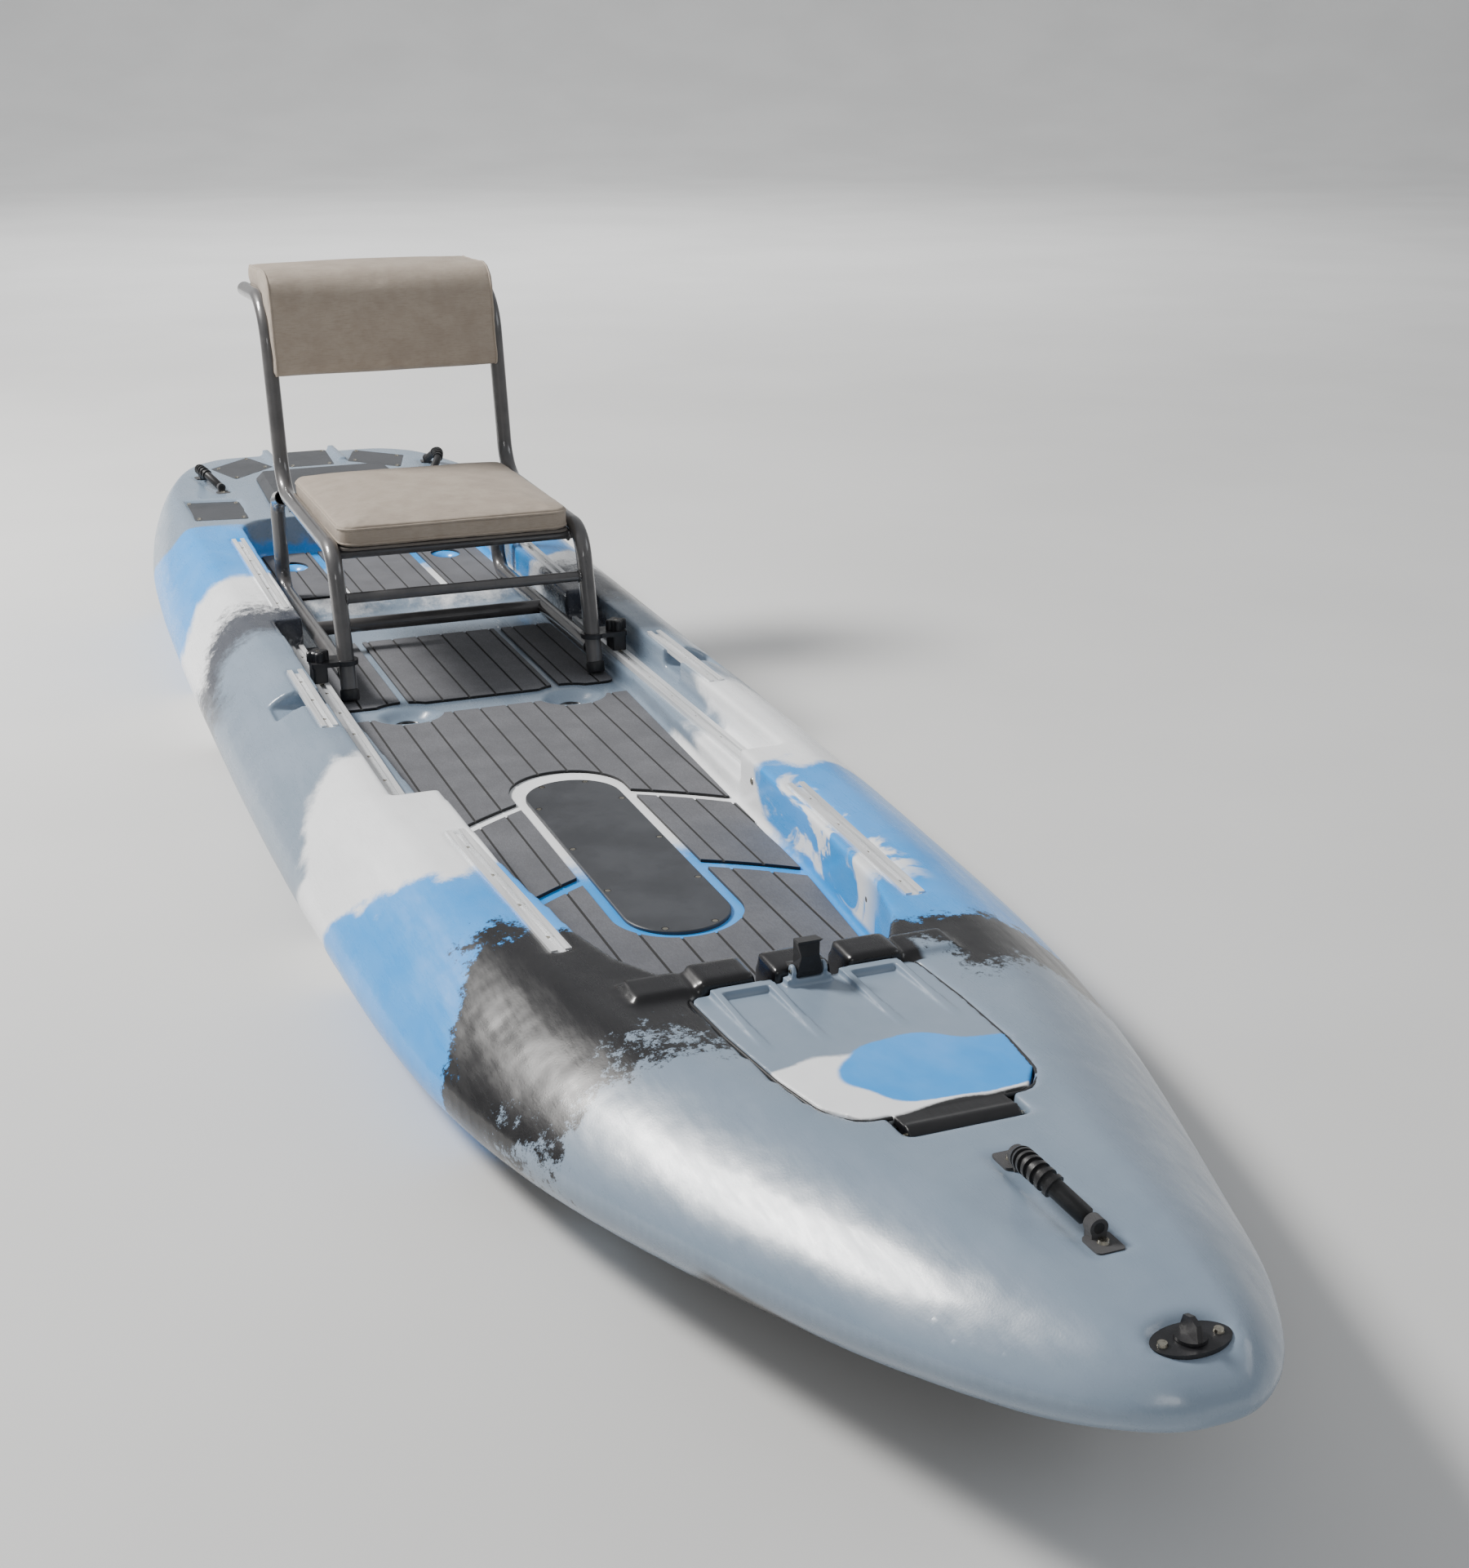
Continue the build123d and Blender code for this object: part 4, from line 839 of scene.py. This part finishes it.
SEAT_LOW, SEAT_HIGH = (Vector(corner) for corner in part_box("seat_cushion"))
SEAT_MIDDLE = (SEAT_LOW + SEAT_HIGH) / 2
TOP_SEAM_Z, LOW_SEAM_Z = SEAT_HIGH.z - 0.011, SEAT_LOW.z + 0.006


SEAT_SQUASH = 0.86


def seat_cushion():
    mesh = applied(cad_mesh("seat_cushion"), ("REMESH", {"mode": "VOXEL", "voxel_size": 0.006}))
    points = coordinates(mesh)
    points[:, 2] = SEAT_LOW.z + (points[:, 2] - SEAT_LOW.z) * SEAT_SQUASH
    set_coordinates(mesh, points)
    top = SEAT_LOW.z + (SEAT_HIGH.z - SEAT_LOW.z) * SEAT_SQUASH

    def held(at):
        edge_x = SEAT_HIGH.x - SEAT_MIDDLE.x - np.abs(at[:, 0] - SEAT_MIDDLE.x)
        edge_y = SEAT_HIGH.y - SEAT_MIDDLE.y - np.abs(at[:, 1] - SEAT_MIDDLE.y)
        rim = np.minimum(edge_x, edge_y) < 0.012
        seams = (np.abs(at[:, 2] - (top - 0.008)) < 0.004) & rim
        return (at[:, 2] < SEAT_LOW.z + 0.008) | seams

    mesh = inflate(mesh, 0.013, 4.0, held)

    def crease(point):
        along = noise.noise(Vector((point.x * 5.0, point.y * 9.0, point.z * 20.0)))
        edge = max(abs(point.x - SEAT_MIDDLE.x) / 0.226, abs(point.y) / 0.200)
        return 0.0014 * along + 0.0012 * edge ** 6 * noise.noise(point * 60.0)

    mesh = wrinkled(mesh, crease)
    mesh = applied(mesh, ("SUBSURF", {"levels": 1}))
    shade(mesh)
    return mesh


def seam_cord(mesh, height, name):
    ring = outline_points(mesh, height, SEAT_MIDDLE)
    return tube_mesh(name, ring, 0.0024, closed=True, sides=8)


cushion_mesh = seat_cushion()
cushion = new_piece(
    "seat_cushion_cover", cushion_mesh, FINISH["seat_fabric"], "seat", ["seat_cushion"],
)
seams = [seam_cord(cushion_mesh, height, "seam") for height in (TOP_SEAM_Z - 0.006, LOW_SEAM_Z)]
new_piece("seat_cushion_piping", joined("piping", seams), FINISH["seat_fabric"], "seat")

BACK_HIGH = Vector(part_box("back_cushion")[1])
SLEEVE_HALF = 0.213


def back_sleeve():
    """The padded sleeve over the bent tops of the seat tubes, gathered a little at both ends."""
    mesh = cad_mesh("back_cushion")
    points = coordinates(mesh)
    points[:, 1] *= SLEEVE_HALF / BACK_HIGH.y
    set_coordinates(mesh, points)
    mesh = applied(mesh, ("REMESH", {"mode": "VOXEL", "voxel_size": 0.006}))
    mesh = applied(mesh, ("SMOOTH", {"factor": 0.5, "iterations": 3}))
    mesh = inflate(mesh, 0.006, 2.5, lambda at: np.abs(at[:, 1]) > SLEEVE_HALF - 0.004)

    def crease(point):
        end = max(0.0, (abs(point.y) - 0.11) / 0.10)
        folds = noise.noise(Vector((point.x * 26.0, point.y * 7.0, point.z * 26.0)))
        broad = noise.noise(Vector((point.x * 6.0, point.y * 5.0, point.z * 6.0)))
        return 0.0016 * broad + 0.0030 * min(1.0, end) * folds

    mesh = wrinkled(mesh, crease)
    mesh = applied(mesh, ("SUBSURF", {"levels": 1}))
    shade(mesh)
    return mesh


def end_seam(mesh, side):
    """A sewn cord round one end of the sleeve, along the edge of its end panel."""
    panel = bmesh.new()
    panel.from_mesh(cad_mesh("back_cushion"))
    ends = [f for f in panel.faces if f.normal.y * side > 0.9]
    edges = [e for f in ends for e in f.edges if sum(other in ends for other in e.link_faces) == 1]
    order = [edges[0].verts[0], edges[0].verts[1]]
    left = set(edges[1:])
    while left:
        step = next((e for e in left if order[-1] in e.verts), None)
        if step is None:
            break
        left.remove(step)
        order.append(step.other_vert(order[-1]))
    outline = [v.co.copy() for v in order[:-1]]
    panel.free()
    even = evenly(outline, 150)
    tree = BVHTree.FromPolygons([v.co for v in mesh.vertices], [p.vertices for p in mesh.polygons])
    ring = [tree.find_nearest(Vector((p.x, side * (SLEEVE_HALF - 0.004), p.z)))[0] for p in even]
    return tube_mesh("end_seam", ring, 0.0022, closed=True, sides=8)


def evenly(points, count):
    """A closed outline's points spaced evenly along it."""
    loop = points + [points[0]]
    lengths = [0.0]
    for a, b in zip(loop, loop[1:]):
        lengths.append(lengths[-1] + (b - a).length)
    result = []
    for index in range(count):
        target = lengths[-1] * index / count
        place = max(i for i, length in enumerate(lengths[:-1]) if length <= target)
        span = lengths[place + 1] - lengths[place]
        share = (target - lengths[place]) / span if span else 0.0
        result.append(loop[place].lerp(loop[place + 1], share))
    return result


sleeve_mesh = back_sleeve()
sleeve = new_piece(
    "back_cushion_sleeve", sleeve_mesh, FINISH["seat_fabric"], "seat", ["back_cushion"],
)
end_seams = [end_seam(sleeve_mesh, side) for side in SIDES.values()]
new_piece("back_sleeve_seams", joined("end_seams", end_seams), FINISH["seat_fabric"], "seat")


# ---------------------------------------------------------------- seat frame details
SEAT_Y = 0.216
CROSSBARS = ((-0.294, 0.272, 0.009), (-0.356, 0.334, 0.009), (-0.760, 0.334, 0.009), (-1.078, 0.698, 0.011))
LEG_FOOT, LEG_LEAN = Vector((-0.252, 0, 0.112)), Vector((-0.252 + 0.314, 0, 0.112 - 0.350)).normalized()


def weld_beads():
    """Ripples of weld where the crossbars meet the side tubes."""
    beads = []
    for x, z, radius in CROSSBARS:
        for side in SIDES.values():
            ring = []
            for step in range(36):
                angle = 2 * math.pi * step / 36
                ripple = radius + 0.0010 + 0.0006 * math.sin(step * 2.1)
                ring.append((
                    x + ripple * math.cos(angle), side * (SEAT_Y - 0.0125 + 0.0008 * math.sin(step * 2.1)),
                    z + ripple * math.sin(angle),
                ))
            beads.append(tube_mesh("bead", ring, 0.0022, closed=True, sides=6))
    return joined("beads", beads)


new_piece("frame_weld_beads", weld_beads(), FINISH["frame_coat"], "seat")

feet, plugs = [], []
FOOT_PROFILE = [
    (0.0120, 0.0045), (0.0150, 0.0040), (0.0162, 0.0020), (0.0162, -0.0120), (0.0150, -0.0150),
    (0.0140, -0.0152),
]
PLUG_PROFILE = [
    (0.0120, -0.0060), (0.0136, -0.0005), (0.0134, 0.0012), (0.0100, 0.0032), (0.0050, 0.0042),
    (0.0010, 0.0045),
]
for side in SIDES.values():
    feet.append(lathe("foot", FOOT_PROFILE, LEG_FOOT + Vector((0, side * SEAT_Y, 0)), LEG_LEAN))
    plugs.append(lathe("plug", PLUG_PROFILE, (-1.092, side * SEAT_Y, 0.698), (-1, 0, -0.026)))
new_piece("frame_feet", joined("feet", feet), FINISH["black_rubber"], "seat")
new_piece("frame_end_plugs", joined("plugs", plugs), FINISH["black_plastic"], "seat")


# ---------------------------------------------------------------- small fittings on the hull
WALL_SCREWS = ((0.480, 0.2215, 0.150), (0.930, 0.1965, 0.150))
SCREW_PROFILE = [(0.0062, -0.001), (0.0062, 0.0008), (0.0048, 0.0024), (0.0024, 0.0032), (0.0008, 0.0033)]
wall_screws = []
for side in SIDES.values():
    for x, y, z in WALL_SCREWS:
        wall_screws.append(lathe("screw", SCREW_PROFILE, (x, side * y, z), (0, -side, 0), 16))
new_piece("wall_screws", joined("screws", wall_screws), FINISH["steel_screw"], "hull")


# ---------------------------------------------------------------- finishes of the carried-over frame
slot_of = {part["node"]: part["material_slot"] for part in frame["record"]["subparts"]}
slot_of["seat_base"] = "base_cloth"
for node, piece in frame["nodes"].items():
    if not piece.hide_render:
        piece.data.materials.clear()
        piece.data.materials.append(FINISH[slot_of[node]])


# ---------------------------------------------------------------- studio
FLAT_RINGS = (0.02, 2.0, 4.0, 6.0, 8.0, 10.0, 12.5, 15.0)
RIM_R, RIM_STEPS = 9.0, 18


def make_floor():
    """A flat round floor whose far rim curves up into a backdrop."""
    profile = [(reach, 0.0) for reach in FLAT_RINGS]
    for step in range(1, RIM_STEPS + 1):
        angle = math.pi / 2 * step / RIM_STEPS
        profile.append((FLAT_RINGS[-1] + RIM_R * math.sin(angle), RIM_R * (1 - math.cos(angle))))
    mesh = lathe("studio_floor", profile, (0, 0, 0), (0, 0, 1), 96, open_top=True)
    mesh.materials.append(studio_floor())
    floor = bpy.data.objects.new("studio_floor", mesh)
    scene.collection.objects.link(floor)
    floor.location.z = float(cad_box[0][2]) - 0.001


make_camera()
make_world((0.95, 0.97, 1.0), 0.42)
make_light("key", (-2.6, -3.4, 4.4), (0.4, 0, 0), (1.5, 1.5), 620, (1.0, 0.98, 0.95))
make_light("fill", (2.0, 4.5, 3.2), (0, 0, 0), (3.0, 2.0), 40, (0.93, 0.96, 1.0))
make_light("front", (5.5, -2.5, 2.6), (1.2, 0, 0), (1.6, 1.2), 30)
make_light("backdrop", (-8.5, 1.5, 6.5), (-13.5, 3.0, 0), (7.0, 7.0), 900)
make_floor()
